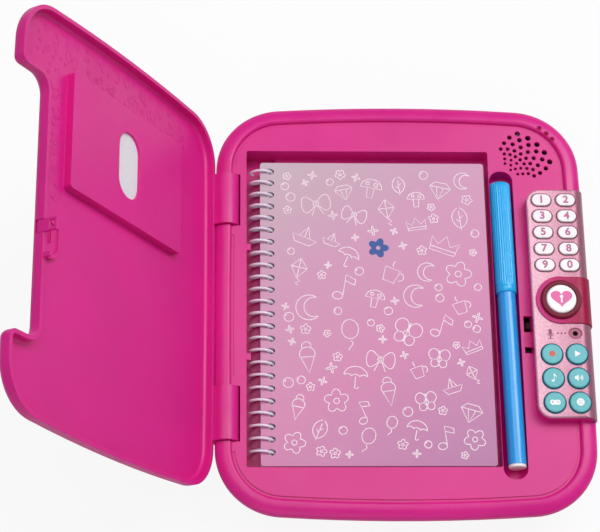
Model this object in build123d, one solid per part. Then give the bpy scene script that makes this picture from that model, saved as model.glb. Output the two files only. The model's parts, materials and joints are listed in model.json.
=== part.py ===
from build123d import *
import os
from math import acos, atan2, cos, hypot, pi, radians, sin, sqrt

# Electronic secret diary, in millimetres. +X points to the keypad side, +Y to the far edge, +Z up.
# The origin is the centre of the flat underside. The lid stands open on its stop.

# --- Base case ---
base_width = 184.4
base_depth = 215.0
side_bow_radius = 3850.0       # plan radius of the left and right sides
end_bow_radius = 950.0         # plan radius of the near and far sides
corner_radius = 33.0
deck_height = 30.0
deck_thickness = 2.2
case_wall = 2.2
rim_rise = 1.6                 # rim crest above the deck
rim_crest_width = 6.8          # from the outline to the crest
rim_foot_width = 9.6           # from the outline to the foot of the rim
foot_groove_width = 1.3
foot_groove_depth = 0.5
widest_below_crest = 4.2
side_round = 6.0
side_slope = 30.0              # lean of the lower side wall from the vertical, degrees
parting_height = 15.0
floor_thickness = 2.2
underside_round = 3.0
right_edge = base_width / 2
far_edge = base_depth / 2

# --- Notebook pocket, pen groove and speaker grille in the deck ---
notebook_width = base_width - 71.6
notebook_height = base_depth - 57.3
notebook_x = 22.7 - right_edge  # left edge of the covers
notebook_y = 26.3 - far_edge    # near edge of the covers
cover_below_deck = 1.5
front_cover_thickness = 0.7
back_cover_thickness = 1.0
page_inset = 1.2
pocket_above_batteries = 2.9
notebook_corner = 1.5
coil_pitch = 6.35
coil_wire = 1.3
coil_outer_diameter = 13.5
coil_overhang = 6.0            # coil beyond the left edge of the covers
coil_top_hole_inset = 4.8      # first coil hole below the far edge of the covers
coil_hole_diameter = 3.2
pocket_left_gap = 0.8          # coil to the pocket wall
pocket_right_gap = 2.2
pocket_near_gap = 0.8
pocket_far_gap = 5.9
pocket_wall = 2.0
pocket_corner = 1.0
coil_trough_gap = 0.4
pocket_tab_width = 3.4
pocket_tab_reach = 2.1
pocket_tab_height = 2.5
pocket_tab_gaps = (0.27, 0.64)  # how far down the coil the tabs stand
pen_x = right_edge - 40.2
pen_top_y = far_edge - 41.9
pen_below_deck = 2.7           # pen axis below the deck
pen_tilt = 0.6                 # degrees, towards the keypad at the near end
cap_length = 59.0
cap_diameter = 10.4
cap_seat = 16.0                # length of barrel neck inside the cap
barrel_diameter = 9.0
barrel_length = base_depth - 127.8
neck_diameter = 8.0
end_plug_length = 1.5
end_plug_diameter = 8.6
tip_diameter = 3.0
tip_length = 12.0
groove_width = 11.8
groove_offset = 0.4            # middle of the groove left of the pen's middle
groove_gap = 0.6               # pen to the bottom of the groove
groove_end_gap = 6.0
groove_wall = 1.5
speaker_x = right_edge - 25.2
speaker_y = far_edge - 23.5
speaker_diameter = 22.0
speaker_frame_depth = 7.0
speaker_magnet_diameter = 12.0
speaker_magnet_depth = 5.0
grille_x = right_edge - 38.2    # common centre of the grille's arcs of holes
grille_y = far_edge - 38.0
grille_arcs = (                # radius, first and last angle, number of holes, hole diameter
    (24.4, 18.4, 72.0, 5, 2.8), (21.4, 11.0, 81.0, 6, 2.4), (18.0, 4.8, 88.6, 7, 2.2),
    (14.8, -0.5, 95.5, 8, 2.0), (12.0, 5.3, 88.6, 7, 1.8), (9.2, 6.0, 88.0, 5, 1.6),
    (6.6, 7.0, 87.0, 4, 1.5), (4.4, 45.6, 45.6, 1, 1.4),
)
rim_dot_insets = ((19.6, 12.2), (16.2, 15.2), (13.4, 18.3))  # from the right and far edges
rim_dot_diameter = 2.3
rim_dot_depth = 0.6

# --- Keypad panel ---
panel_left = right_edge - 29.4
panel_near = 47.7 - far_edge
panel_far = far_edge - 48.7
panel_corner = 7.0
panel_top = deck_height + 7.0
panel_wall = 1.6
panel_edge_round = 0.8
bezel_thickness = 1.6
bezel_side_bottom = deck_height - 2.6
bezel_side_round = 6.5
panel_side_inset = 0.3         # right side of the panel inside the case's widest line
panel_depth = panel_far - panel_near
panel_middle = (panel_far + panel_near) / 2
digit_width = 9.4
digit_height = 0.0514 * panel_depth
digit_first_column = right_edge - 22.0
digit_column_pitch = 12.15
digit_first_row = panel_middle + 0.4503 * panel_depth
digit_row_pitch = 0.0732 * panel_depth
digit_proud = 1.0
function_diameter = 0.0835 * panel_depth
function_first_column = right_edge - 21.3
function_column_pitch = 12.15
function_first_row = panel_middle - 0.2319 * panel_depth
function_row_pitch = 0.1026 * panel_depth
function_proud = 1.2
heart_x = right_edge - 15.3
heart_y = panel_middle + 0.003 * panel_depth
heart_diameter = 0.1248 * panel_depth
heart_proud = 2.6
ring_width = 2.6
ring_height = 1.6
surround_radius = heart_diameter / 2 + 4.8
surround_thickness = 0.7
button_gap = 0.25
button_travel = 0.8
flange_width = 0.5
flange_thickness = 1.1
microphone_x = right_edge - 9.2
microphone_y = panel_middle - 0.1408 * panel_depth
microphone_diameter = 5.0
microphone_thickness = 2.4
microphone_hole = 2.6
microphone_dish_width = 5.9
microphone_dish_height = 4.9
membrane_thickness = 1.0
membrane_dome_height = 0.7
board_thickness = 1.6
board_gap = 0.6
board_screw_insets = ((25.0, 0.101), (7.6, 0.101), (25.0, -0.126), (15.7, -0.161))  # from the right, share
board_boss_diameter = 3.0
board_screw_diameter = 1.6
board_screw_head = 2.8
board_screw_grip = 3.0

# --- Lid and hinge ---
lid_inset = 10.5               # lid edge inside the base outline
lid_height = 6.8
lid_plate = 2.2
lid_wall = 2.0
lid_lift = 0.3                 # lid lip above the deck when closed
lid_edge_round = 3.6
lid_open_angle = 120.0
notch_gap = 1.3                # keypad panel to the lid
notch_corner = 7.0
lid_end_round = 4.0            # the two free corners beside the notch
hinge_inset = 5.8              # hinge axis inside the base outline
knuckle_diameter = 13.2
knuckle_above_rim = 2.0
hinge_spacing = 111.1          # between the middles of the two knuckles
knuckle_length = 27.0
knuckle_end_gap = 0.3
knuckle_gap = 0.35
hinge_block_wall = 2.4
hinge_block_end = 5.0
pin_diameter = 3.0
pin_running_gap = 0.06
picture_left = 41.9 - right_edge
picture_right = panel_left - 20.8
picture_near = 15.6
picture_far = far_edge - 35.5
picture_pad_height = 4.0
picture_floor = 1.4
picture_wall = 2.0
picture_corner = 1.5
finger_slot_x = (picture_left + picture_right) / 2
finger_slot_y = (picture_near + picture_far) / 2
finger_slot_width = 17.5
finger_slot_length = 0.585 * (picture_far - picture_near)
card_thickness = 0.5
window_thickness = 1.2
frame_bezel_width = 5.0
frame_bezel_proud = 0.6
catch_x = panel_left - 17.1    # round side of the D-shaped pad
catch_length = 18.0
catch_thickness = 2.4
catch_rim_width = 1.7
catch_rim_height = 0.8
catch_slot_inset = 8.3         # middle of the pad's slot from its round side
catch_slot_width = 4.4
catch_slot_length = 10.6

# --- Latch ---
latch_slot_width = 3.6
latch_slot_length = 7.8
latch_slot_x = panel_left - latch_slot_width / 2
latch_slot_y = panel_middle - 0.0788 * panel_depth
switch_slot_y = panel_middle - 0.1923 * panel_depth
switch_slot_length = 3.5
catch_y = latch_slot_y - 2.8
latch_recess_depth = 1.2       # shallow recess that joins the two slots
hook_thickness = 1.3
hook_gap = 1.0                 # hook to each end of its slot
hook_reach = 6.5               # hook below the lid lip
hook_bar = 1.1
bolt_width = 3.2
bolt_thickness = 2.0
bolt_gap = 0.35
bolt_length = 7.0
bolt_collar_diameter = 5.6
bolt_collar_length = 0.8
guide_length = 3.0
guide_wall = 2.0
rod_diameter = 2.4
rod_length = 15.0
solenoid_x = right_edge - 19.7
solenoid_length = 13.0
solenoid_width = 12.0
solenoid_height = 6.6
spring_wire = 0.4
spring_diameter = 4.4
spring_turns = 3.5
switch_size = 4.0
switch_height = 3.0
switch_offset = 0.6            # switch body to the right of its slot
switch_plunger_diameter = 2.0
switch_finger_reach = 3.8      # below the lid lip
shelf_thickness = 1.8

# --- Screws and batteries ---
case_screw_spots = (
    (32.2 - right_edge, far_edge - 21.0), (0.0, far_edge - 20.5), (right_edge - 47.2, far_edge - 20.5),
    (32.2 - right_edge, 21.0 - far_edge), (0.0, 20.5 - far_edge), (right_edge - 24.2, 30.5 - far_edge),
)
boss_diameter = 7.6
boss_split = 12.0              # height where the two shells' bosses meet
screw_diameter = 2.9
screw_length = 20.0
screw_head_diameter = 5.4
screw_head_height = 2.0
screw_recess = 3.0
aaa_diameter = 10.5
aaa_length = 44.5
aaa_nub_length = 0.8
aaa_nub_diameter = 3.6
battery_pitch = 11.4
battery_x = -12.0
battery_y = 10.0
contact_space = 3.0
contact_thickness = 0.4
battery_wall = 1.6
battery_clearance = 0.3
door_thickness = 1.8
door_gap = 0.25
door_ledge = 2.0
door_tab = 10.0                # screw end of the door
door_screw_diameter = 2.0
door_screw_length = 9.0
door_head_diameter = 4.2
door_head_height = 1.1

# --- Worked out from the sizes above ---
rim_height = deck_height + rim_rise
widest_height = rim_height - widest_below_crest
deck_under = deck_height - deck_thickness
cover_top = deck_height - cover_below_deck
coil_mean = (coil_outer_diameter - coil_wire) / 2
coil_x = notebook_x - coil_overhang + coil_outer_diameter / 2
coil_holes = int(notebook_height / coil_pitch)
coil_rise = 4.45               # front of the cover above the coil axis
coil_z = cover_top - coil_rise
door_top = door_thickness + 0.2
battery_roof = door_top + 2 * battery_clearance + aaa_diameter + battery_wall
pocket_floor = battery_roof + pocket_above_batteries + pocket_wall
trough_floor = coil_z - coil_outer_diameter / 2 - coil_trough_gap
trough_right = coil_x + coil_outer_diameter / 2 + coil_trough_gap
pocket_left = notebook_x - coil_overhang - pocket_left_gap
pocket_right = notebook_x + notebook_width + pocket_right_gap
pocket_near = notebook_y - pocket_near_gap
pocket_far = notebook_y + notebook_height + pocket_far_gap
pen_z = deck_height - pen_below_deck
pen_length = cap_length + barrel_length + end_plug_length
groove_far = pen_top_y + groove_end_gap
groove_near = pen_top_y - pen_length - groove_end_gap
groove_radius = groove_width / 2
groove_x = pen_x - groove_offset
groove_bottom = pen_z - cap_diameter / 2 - groove_gap
hinge_x = -base_width / 2 + hinge_inset
hinge_z = rim_height + knuckle_above_rim - knuckle_diameter / 2
hinge_line = Axis((hinge_x, 0, hinge_z), (0, 1, 0))
lip_height = deck_height + lid_lift
lid_top = lip_height + lid_height
lid_under = lid_top - lid_plate
panel_side = right_edge - panel_side_inset
bezel_under = panel_top - bezel_thickness
flange_top = bezel_under - 0.1
flange_bottom = flange_top - flange_thickness
dome_top = flange_bottom - button_travel - 0.05
membrane_top = dome_top - membrane_dome_height
board_top = membrane_top - membrane_thickness
board_under = board_top - board_thickness
bolt_z = lip_height - hook_reach + hook_bar + bolt_gap
solenoid_bottom = bolt_z + bolt_thickness / 2 - solenoid_height / 2
battery_middle = door_top + battery_clearance + aaa_diameter / 2
door_screw_x = battery_x + aaa_length / 2 + contact_space + door_ledge + door_tab / 2
lid_left = -base_width / 2 + lid_inset
picture_seat = lid_under - picture_pad_height + picture_floor
notch_wall = panel_left - notch_gap
catch_right = notch_wall - lid_edge_round - 0.05
hook_left = notch_wall - hook_thickness - 0.1
bolt_left = hook_left - 0.1
hook_half = latch_slot_length / 2 - hook_gap
digit_rows = ("12", "34", "56", "78", "90")
digit_spots = {
    digit: (digit_first_column + column * digit_column_pitch, digit_first_row - row * digit_row_pitch)
    for row, digits in enumerate(digit_rows) for column, digit in enumerate(digits)
}
function_names = (("record", "play"), ("music", "speaker"), ("game", "face"))
function_spots = {
    name: (function_first_column + column * function_column_pitch,
           function_first_row - row * function_row_pitch)
    for row, names in enumerate(function_names) for column, name in enumerate(names)
}
board_screw_spots = [(right_edge - inset, panel_middle + share * panel_depth)
                     for inset, share in board_screw_insets]
rim_dot_spots = [(right_edge - from_right, far_edge - from_far) for from_right, from_far in rim_dot_insets]


# --- Helpers ---
def box(x0, x1, y0, y1, z0, z1):
    """A block between two corners."""
    return Pos((x0 + x1) / 2, (y0 + y1) / 2, (z0 + z1) / 2) * Box(x1 - x0, y1 - y0, z1 - z0)


def post(x, y, z0, z1, diameter):
    """An upright cylinder."""
    return Pos(x, y, (z0 + z1) / 2) * Cylinder(diameter / 2, z1 - z0)


def slab(face, z0, z1):
    """A flat outline extruded between two heights."""
    return extrude(Pos(0, 0, z0) * face, z1 - z0, dir=(0, 0, 1))


def along_x(x0, x1, y, z, diameter):
    """A cylinder along X."""
    return Pos((x0 + x1) / 2, y, z) * Rot(0, 90, 0) * Cylinder(diameter / 2, x1 - x0)


def along_y(x, y0, y1, z, diameter):
    """A cylinder along Y."""
    return Pos(x, (y0 + y1) / 2, z) * Rot(90, 0, 0) * Cylinder(diameter / 2, y1 - y0)


def rounded(x0, x1, y0, y1, radius):
    """A rounded rectangle between two corners, flat on the ground plane."""
    return Pos((x0 + x1) / 2, (y0 + y1) / 2) * RectangleRounded(x1 - x0, y1 - y0, radius)


def stadium(x, y, width, height):
    """A slot shape with full round ends; it is long in X when wider than it is high."""
    if width > height:
        return Pos(x, y) * SlotOverall(width, height)
    return Pos(x, y) * SlotOverall(height, width, rotation=90)


def outline_wire(inset):
    """The base's plan, moved inwards: four bowed sides joined by tangent corner arcs."""
    half_width = base_width / 2 - inset
    half_depth = base_depth / 2 - inset
    side_radius = side_bow_radius - inset
    end_radius = end_bow_radius - inset
    corner = corner_radius - inset
    side_centre = half_width - side_radius
    end_centre = half_depth - end_radius
    to_side = side_radius - corner
    to_end = end_radius - corner
    apart = hypot(side_centre, end_centre)
    share = (to_side**2 - to_end**2 + apart**2) / (2 * apart)
    height = sqrt(to_side**2 - share**2)
    along_u, along_v = -side_centre / apart, end_centre / apart
    corner_x = side_centre + share * along_u - height * along_v
    corner_y = share * along_v + height * along_u
    side_x = side_centre + (corner_x - side_centre) * side_radius / to_side
    side_y = corner_y * side_radius / to_side
    end_x = corner_x * end_radius / to_end
    end_y = end_centre + (corner_y - end_centre) * end_radius / to_end
    middle_x = corner_x + corner * cos(radians(45))
    middle_y = corner_y + corner * sin(radians(45))
    half_side_x = side_centre + sqrt(side_radius**2 - (side_y / 2) ** 2)

    def arc(start, middle, end):
        return ThreePointArc(start, middle, end)

    edges = [
        arc((half_width, 0), (half_side_x, side_y / 2), (side_x, side_y)),
        arc((side_x, side_y), (middle_x, middle_y), (end_x, end_y)),
        arc((end_x, end_y), (0, half_depth), (-end_x, end_y)),
        arc((-end_x, end_y), (-middle_x, middle_y), (-side_x, side_y)),
        arc((-side_x, side_y), (-half_width, 0), (-side_x, -side_y)),
        arc((-side_x, -side_y), (-middle_x, -middle_y), (-end_x, -end_y)),
        arc((-end_x, -end_y), (0, -half_depth), (end_x, -end_y)),
        arc((end_x, -end_y), (middle_x, -middle_y), (side_x, -side_y)),
        arc((side_x, -side_y), (half_side_x, -side_y / 2), (half_width, 0)),
    ]
    return Wire(edges)


def outline(inset=0.0):
    """The base's plan as a face, moved inwards by inset."""
    return make_face(outline_wire(inset))


def side_inset(height):
    """How far the outer side wall stands inside the outline, at a height below the widest line."""
    lean = radians(side_slope)
    arc_drop = side_round * sin(lean)
    drop = widest_height - height
    if drop <= arc_drop:
        return side_round - sqrt(side_round**2 - drop**2)
    return side_round * (1 - cos(lean)) + (drop - arc_drop) * sin(lean) / cos(lean)


def swept_ring(section):
    """A closed section in the XZ plane, drawn as (inset, height), swept round the outline."""
    profile = Pos(base_width / 2, 0, 0) * Plane.XZ * mirror(section, Plane.YZ)
    return sweep(profile, path=outline_wire(0))


def closed(part):
    """Turns a lid piece drawn closed into its open place."""
    return part.rotate(hinge_line, -lid_open_angle)


# --- Base shells ---
def rim_section():
    """Section of the rim and the upper side wall, as insets and heights."""
    lean = radians(side_slope)
    bend_height = widest_height - side_round * sin(lean)
    bend_inset = side_inset(bend_height)
    bend_middle = (side_round * (1 - cos(lean / 2)), widest_height - side_round * sin(lean / 2))
    part_inset = side_inset(parting_height)
    wall = case_wall / cos(lean)
    crest_middle = (rim_crest_width * (1 - cos(pi / 4)), widest_height + widest_below_crest * sin(pi / 4))
    foot_height = deck_height - foot_groove_depth
    foot_drop = rim_height - foot_height
    groove_inset = rim_foot_width - foot_groove_width
    foot_run = groove_inset - rim_crest_width
    foot_middle = (rim_crest_width + foot_run * sin(pi / 4), rim_height - foot_drop * (1 - cos(pi / 4)))
    inner_edge = rim_foot_width + 2
    outer_side = [
        Line((part_inset, parting_height), (bend_inset, bend_height)),
        ThreePointArc((bend_inset, bend_height), bend_middle, (0, widest_height)),
        Spline((0, widest_height), crest_middle, (rim_crest_width, rim_height), tangents=((0, 1), (1, 0))),
        ThreePointArc((rim_crest_width, rim_height), foot_middle, (groove_inset, foot_height)),
    ]
    inner_side = Polyline(
        (groove_inset, foot_height), (rim_foot_width, foot_height), (rim_foot_width, deck_height),
        (inner_edge, deck_height), (inner_edge, deck_under), (rim_crest_width, deck_under),
        (case_wall, widest_height - 0.6), (bend_inset + wall, bend_height),
        (part_inset + wall, parting_height), (part_inset, parting_height))
    return make_face(outer_side + inner_side.edges())


def floor_section():
    """Section of the lower side wall and the edge of the underside, as insets and heights."""
    wall = case_wall / cos(radians(side_slope))
    part_inset = side_inset(parting_height)
    edge_inset = side_inset(0)
    inner_edge = edge_inset + 6
    points = [
        (part_inset, parting_height), (edge_inset, 0), (inner_edge, 0), (inner_edge, floor_thickness),
        (side_inset(floor_thickness) + wall, floor_thickness), (part_inset + wall, parting_height)]
    face = make_face(Polyline(*points, close=True))
    corner = face.vertices().sort_by_distance(Vector(edge_inset, 0, 0))[0]
    return fillet(corner, underside_round)


def side_body(low, high, inset):
    """The case's filled outer shape between two heights on the slope, moved inwards."""
    return loft([Pos(0, 0, z) * outline(side_inset(z) + inset) for z in (low, high)], ruled=True)


def pocket_shape(grow, top):
    """The notebook pocket with its deeper trough for the coil, grown on all sides by a wall."""
    well = slab(rounded(pocket_left - grow, pocket_right + grow, pocket_near - grow, pocket_far + grow,
                        pocket_corner + grow), pocket_floor - grow, top)
    trough = slab(rounded(pocket_left - grow, trough_right + grow, pocket_near - grow, pocket_far + grow,
                          pocket_corner + grow), trough_floor - grow, top)
    return well + trough


def groove_shape(grow, top):
    """The round-bottomed pen groove, grown on all sides by a wall."""
    near, far = groove_near - grow, groove_far + grow
    half = groove_radius + grow
    middle = groove_bottom + groove_radius
    plan = rounded(groove_x - half, groove_x + half, near, far, half - 0.5)
    bottom = along_y(groove_x, near, far, middle, 2 * half) & slab(plan, groove_bottom - grow, middle)
    return bottom + slab(plan, middle, top)


def panel_block(inset, low, high):
    """A block with the keypad panel's plan, running out past the right side."""
    return slab(rounded(panel_left + inset, base_width, panel_near + inset, panel_far - inset,
                        panel_corner - inset), low, high)


def panel_dome(inset, lift=0.0):
    """A long block with the panel's outer surface: flat on top and rounded down the right side."""
    top = panel_top - inset + lift
    body = box(0, panel_side - inset, -base_depth, base_depth, bezel_side_bottom, top)
    corner = body.edges().filter_by(Axis.Y).sort_by(lambda edge: edge.center().X + edge.center().Z)[-1]
    return fillet(corner, bezel_side_round - inset + lift)


def knuckle_middles():
    """Y of the middle of each hinge knuckle."""
    return (-hinge_spacing / 2, hinge_spacing / 2)


def hinge_blocks():
    """Solid blocks round the two hinge recesses, kept inside the case's surface."""
    low = hinge_z - knuckle_diameter / 2 - knuckle_gap - hinge_block_wall
    bend_height = widest_height - side_round * sin(radians(side_slope))
    inside = side_body(low - 2, bend_height, case_wall / 2)
    inside += slab(outline(side_inset(bend_height) + case_wall / 4), bend_height, deck_height + rim_rise / 3)
    half = knuckle_length / 2 + knuckle_end_gap + hinge_block_end
    back = hinge_x + knuckle_diameter / 2 + knuckle_gap + hinge_block_wall
    blocks = [box(-base_width / 2, back, y - half, y + half, low, deck_height) for y in knuckle_middles()]
    return (blocks[0] + blocks[1]) & inside


def hinge_recesses():
    """Room for the knuckles to turn, open upwards and to the left, with the bores for the pins."""
    radius = knuckle_diameter / 2 + knuckle_gap
    half = knuckle_length / 2 + knuckle_end_gap
    cut = Part()
    for y in knuckle_middles():
        cut += along_y(hinge_x, y - half, y + half, hinge_z, 2 * radius)
        cut += box(hinge_x, hinge_x + radius, y - half, y + half, hinge_z, panel_top)
        cut += box(-base_width, hinge_x, y - half, y + half, hinge_z - radius, panel_top)
        reach = half + hinge_block_end - 1
        cut += along_y(hinge_x, y - reach, y + reach, hinge_z, pin_diameter)
    return cut


def plinth():
    """The wall that carries the keypad bezel, open on the right where the bezel comes down."""
    wall = panel_block(0, bezel_side_bottom, bezel_under) - panel_block(panel_wall, 0, panel_top)
    return wall & panel_dome(panel_wall + 0.2, 0.2)


def grille_holes():
    """Arcs of speaker holes that grow towards the far right corner."""
    holes = []
    for radius, first, last, count, diameter in grille_arcs:
        for step in range(int(count)):
            angle = radians(first + (last - first) * step / max(count - 1, 1))
            holes.append(post(grille_x + radius * cos(angle), grille_y + radius * sin(angle),
                              deck_under - 1, deck_height + 1, diameter))
    return holes


def coil_turn_y(turn):
    """Where one turn of the coil crosses the covers, counted from the far end."""
    return notebook_y + notebook_height - coil_top_hole_inset - turn * coil_pitch


def pocket_tabs():
    """Two small tabs on the pocket's left wall, between turns of the coil."""
    tabs = []
    for share in pocket_tab_gaps:
        y = coil_turn_y(int(share * coil_holes)) - coil_pitch / 2
        top = deck_height - 0.5
        tabs.append(box(pocket_left - 0.5, pocket_left + pocket_tab_reach, y - pocket_tab_width / 2,
                        y + pocket_tab_width / 2, top - pocket_tab_height, top))
    return tabs


def latch_guide():
    """A loop under the plinth that the latch bolt slides through."""
    half = bolt_width / 2 + 0.15
    left = panel_left + 0.2
    outer = box(left, left + guide_length, latch_slot_y - half - guide_wall, latch_slot_y + half + guide_wall,
                bolt_z - 0.15 - guide_wall, deck_under + 0.5)
    return outer - box(left - 1, left + guide_length + 1, latch_slot_y - half, latch_slot_y + half,
                       bolt_z - 0.15, bolt_z + bolt_thickness + 0.15)


def switch_shelf():
    """A shelf out from the pen groove that carries the lid switch."""
    low = groove_bottom - groove_wall
    half = switch_size / 2 + 1
    right = latch_slot_x + switch_offset + half
    return box(pen_x, right, switch_slot_y - half, switch_slot_y + half, low, low + shelf_thickness)


def base_top_shell():
    shell = swept_ring(rim_section()) + slab(outline(rim_foot_width + 1), deck_under, deck_height)
    shell += hinge_blocks()
    shell += pocket_shape(pocket_wall, deck_height - 0.5)
    shell += groove_shape(groove_wall, deck_height - 0.5)
    for x, y in case_screw_spots:
        shell += post(x, y, boss_split, deck_height - 0.5, boss_diameter)
    shell += switch_shelf()
    shell -= panel_block(0, bezel_side_bottom, panel_top)
    shell += plinth()
    shell += latch_guide()
    shell -= pocket_shape(0, panel_top)
    shell -= groove_shape(0, panel_top)
    shell -= hinge_recesses()
    for tab in pocket_tabs():
        shell += tab
    for y, length in ((latch_slot_y, latch_slot_length), (switch_slot_y, switch_slot_length)):
        shell -= box(latch_slot_x - latch_slot_width / 2, latch_slot_x + latch_slot_width / 2,
                     y - length / 2, y + length / 2, deck_under - 1, deck_height + 1)
    shell -= box(latch_slot_x - latch_slot_width / 2, panel_left, switch_slot_y - switch_slot_length / 2,
                 latch_slot_y + latch_slot_length / 2, deck_height - latch_recess_depth, deck_height + 1)
    shell -= grille_holes()
    for x, y in rim_dot_spots:
        shell -= post(x, y, rim_height - rim_dot_depth, rim_height + 1, rim_dot_diameter)
    for x, y in case_screw_spots:
        shell -= post(x, y, boss_split - 1, screw_recess + screw_length + 0.5, screw_diameter)
    return shell


def battery_plan(grow):
    """Plan of the battery compartment, grown outwards."""
    half_x = aaa_length / 2 + contact_space + grow
    half_y = battery_pitch * 1.5 + battery_clearance + grow
    return Pos(battery_x, battery_y) * Rectangle(2 * half_x, 2 * half_y)


def door_plan(grow):
    """Plan of the battery door: the compartment, its ledge and the screw end."""
    half_x = aaa_length / 2 + contact_space + door_ledge
    half_y = battery_pitch * 1.5 + battery_clearance + door_ledge
    return rounded(battery_x - half_x - grow, battery_x + half_x + door_tab + grow,
                   battery_y - half_y - grow, battery_y + half_y + grow, 2.0 + grow)


def base_bottom_shell():
    shell = swept_ring(floor_section()) + slab(outline(side_inset(0) + 5), 0, floor_thickness)
    shell += slab(door_plan(door_gap + battery_wall), 0, door_top + battery_wall)
    shell += slab(battery_plan(door_ledge + battery_wall), 0, battery_roof)
    shell += post(door_screw_x, battery_y, 0, door_screw_length + 2, boss_diameter)
    for x, y in case_screw_spots:
        shell += post(x, y, 0, boss_split, boss_diameter)
    pedestal = box(solenoid_x - 5, solenoid_x + solenoid_length - 4, latch_slot_y - solenoid_width / 2 + 2,
                   latch_slot_y + solenoid_width / 2 - 2, floor_thickness / 2, solenoid_bottom)
    shell += pedestal & side_body(0, solenoid_bottom, 1.5 * case_wall)
    shell -= slab(door_plan(door_gap), -1, door_top)
    shell -= slab(battery_plan(0), -1, battery_roof - battery_wall)
    shell -= post(door_screw_x, battery_y, -1, door_screw_length + 1, door_screw_diameter)
    for x, y in case_screw_spots:
        shell -= post(x, y, -1, boss_split + 1, screw_diameter + 0.4)
        shell -= post(x, y, -1, screw_recess, screw_head_diameter + 0.6)
    return shell


def case_screws():
    screws = Part()
    for x, y in case_screw_spots:
        head_top = screw_recess
        screw = post(x, y, head_top - screw_head_height, head_top, screw_head_diameter)
        screw += post(x, y, head_top, head_top + screw_length, screw_diameter)
        screw -= cross_recess(x, y, head_top - screw_head_height, screw_head_diameter)
        screws += screw
    return screws


def cross_recess(x, y, face, size):
    """A cross-shaped driver recess in a screw head that faces down."""
    slot = box(x - size * 0.3, x + size * 0.3, y - size * 0.07, y + size * 0.07, face - 1, face + 0.7)
    return slot + slot.rotate(Axis((x, y, 0), (0, 0, 1)), 90)


def battery_door():
    door = slab(door_plan(0), 0, door_thickness)
    grip_x = battery_x - aaa_length / 2
    for step in range(5):
        door -= box(grip_x + 3 * step, grip_x + 3 * step + 1.2, battery_y - 8, battery_y + 8, -1, 0.5)
    door -= post(door_screw_x, battery_y, -1, door_thickness + 1, door_screw_diameter + 0.3)
    return door - post(door_screw_x, battery_y, -1, door_head_height, door_head_diameter + 0.4)


def battery_door_screw():
    screw = post(door_screw_x, battery_y, 0, door_head_height, door_head_diameter)
    screw += post(door_screw_x, battery_y, door_head_height, door_screw_length, door_screw_diameter)
    return screw - cross_recess(door_screw_x, battery_y, -0.3, door_head_diameter)


def battery(place):
    """One AAA cell. Neighbours point opposite ways."""
    y = battery_y + (place - 1) * battery_pitch
    body_end = aaa_length / 2 - aaa_nub_length
    cell = along_x(-aaa_length / 2, body_end, y, battery_middle, aaa_diameter)
    cell = fillet(cell.edges(), 0.6)
    cell += along_x(body_end - 0.1, aaa_length / 2, y, battery_middle, aaa_nub_diameter)
    if place % 2:
        cell = cell.rotate(Axis((0, y, 0), (0, 0, 1)), 180)
    return Pos(battery_x, 0, 0) * cell


def battery_contacts():
    """A sprung leaf and a flat plate for each cell, at the ends of the compartment."""
    contacts = Part()
    half = battery_pitch / 2 - 1.2
    wall = aaa_length / 2 + contact_space
    for place in range(3):
        y = battery_y + (place - 1) * battery_pitch
        for side in (-1, 1):
            plate = battery_x + side * (wall - contact_thickness / 2)
            leaf = box(plate - contact_thickness / 2, plate + contact_thickness / 2, y - half, y + half,
                       door_top + 1, door_top + aaa_diameter)
            reach = contact_space - contact_thickness
            inner = battery_x + side * (wall - contact_thickness - reach / 2)
            leaf += along_x(inner - reach / 2, inner + reach / 2, y, battery_middle, aaa_nub_diameter)
            contacts += leaf
    return contacts


# --- Speaker ---
def speaker_frame():
    low = deck_under - speaker_frame_depth
    ring = post(speaker_x, speaker_y, low, deck_under, speaker_diameter)
    ring -= post(speaker_x, speaker_y, deck_under - 2.5, deck_under + 1, speaker_diameter - 2.4)
    bowl = Pos(speaker_x, speaker_y, (low + 1 + deck_under - 2.4) / 2) * Cone(
        speaker_magnet_diameter / 2, speaker_diameter / 2 - 1.2, deck_under - 2.4 - low - 1)
    return ring - bowl


def speaker_cone():
    low = deck_under - speaker_frame_depth + 1.4
    high = deck_under - 2.4
    radius = speaker_diameter / 2 - 1.8
    outer = Cone(speaker_magnet_diameter / 2 - 1, radius, high - low)
    inner = Pos(0, 0, 0.5) * Cone(speaker_magnet_diameter / 2 - 1, radius, high - low)
    coil_former = Pos(0, 0, (low - high) / 2 + 0.6) * Cylinder(speaker_magnet_diameter / 2 - 1.2, 1.2)
    return Pos(speaker_x, speaker_y, (low + high) / 2) * (outer - inner + coil_former)


def speaker_magnet():
    top = deck_under - speaker_frame_depth
    return post(speaker_x, speaker_y, top - speaker_magnet_depth, top, speaker_magnet_diameter)


# --- Keypad ---
def digit_shape(spot, grow):
    return stadium(*spot, digit_width + 2 * grow, digit_height + 2 * grow)


def function_shape(spot, grow):
    return Pos(*spot) * Circle(function_diameter / 2 + grow)


def heart_shape(grow):
    return Pos(heart_x, heart_y) * Circle(heart_diameter / 2 + grow)


def keypad_bezel():
    bezel = panel_block(0, bezel_side_bottom, panel_top)
    rims = bezel.faces().sort_by(Axis.Z)[-1].edges()
    bezel = fillet(rims, panel_edge_round) & panel_dome(0)
    bezel -= panel_dome(panel_wall)
    for x, y in board_screw_spots:
        bezel += post(x, y, board_top, bezel_under + 0.5, board_boss_diameter)
        bezel -= post(x, y, board_under, board_top + board_screw_grip, board_screw_diameter)
    holes = [digit_shape(spot, button_gap) for spot in digit_spots.values()]
    holes += [function_shape(spot, button_gap) for spot in function_spots.values()]
    holes.append(heart_shape(button_gap))
    for hole in holes:
        bezel -= slab(hole, bezel_under - 2, panel_top + 1)
    dish = stadium(microphone_x, microphone_y, microphone_dish_width, microphone_dish_height)
    bezel -= slab(dish, panel_top - 0.4, panel_top + 1)
    return bezel - post(microphone_x, microphone_y, bezel_under - 1, panel_top + 1, microphone_hole)


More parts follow.
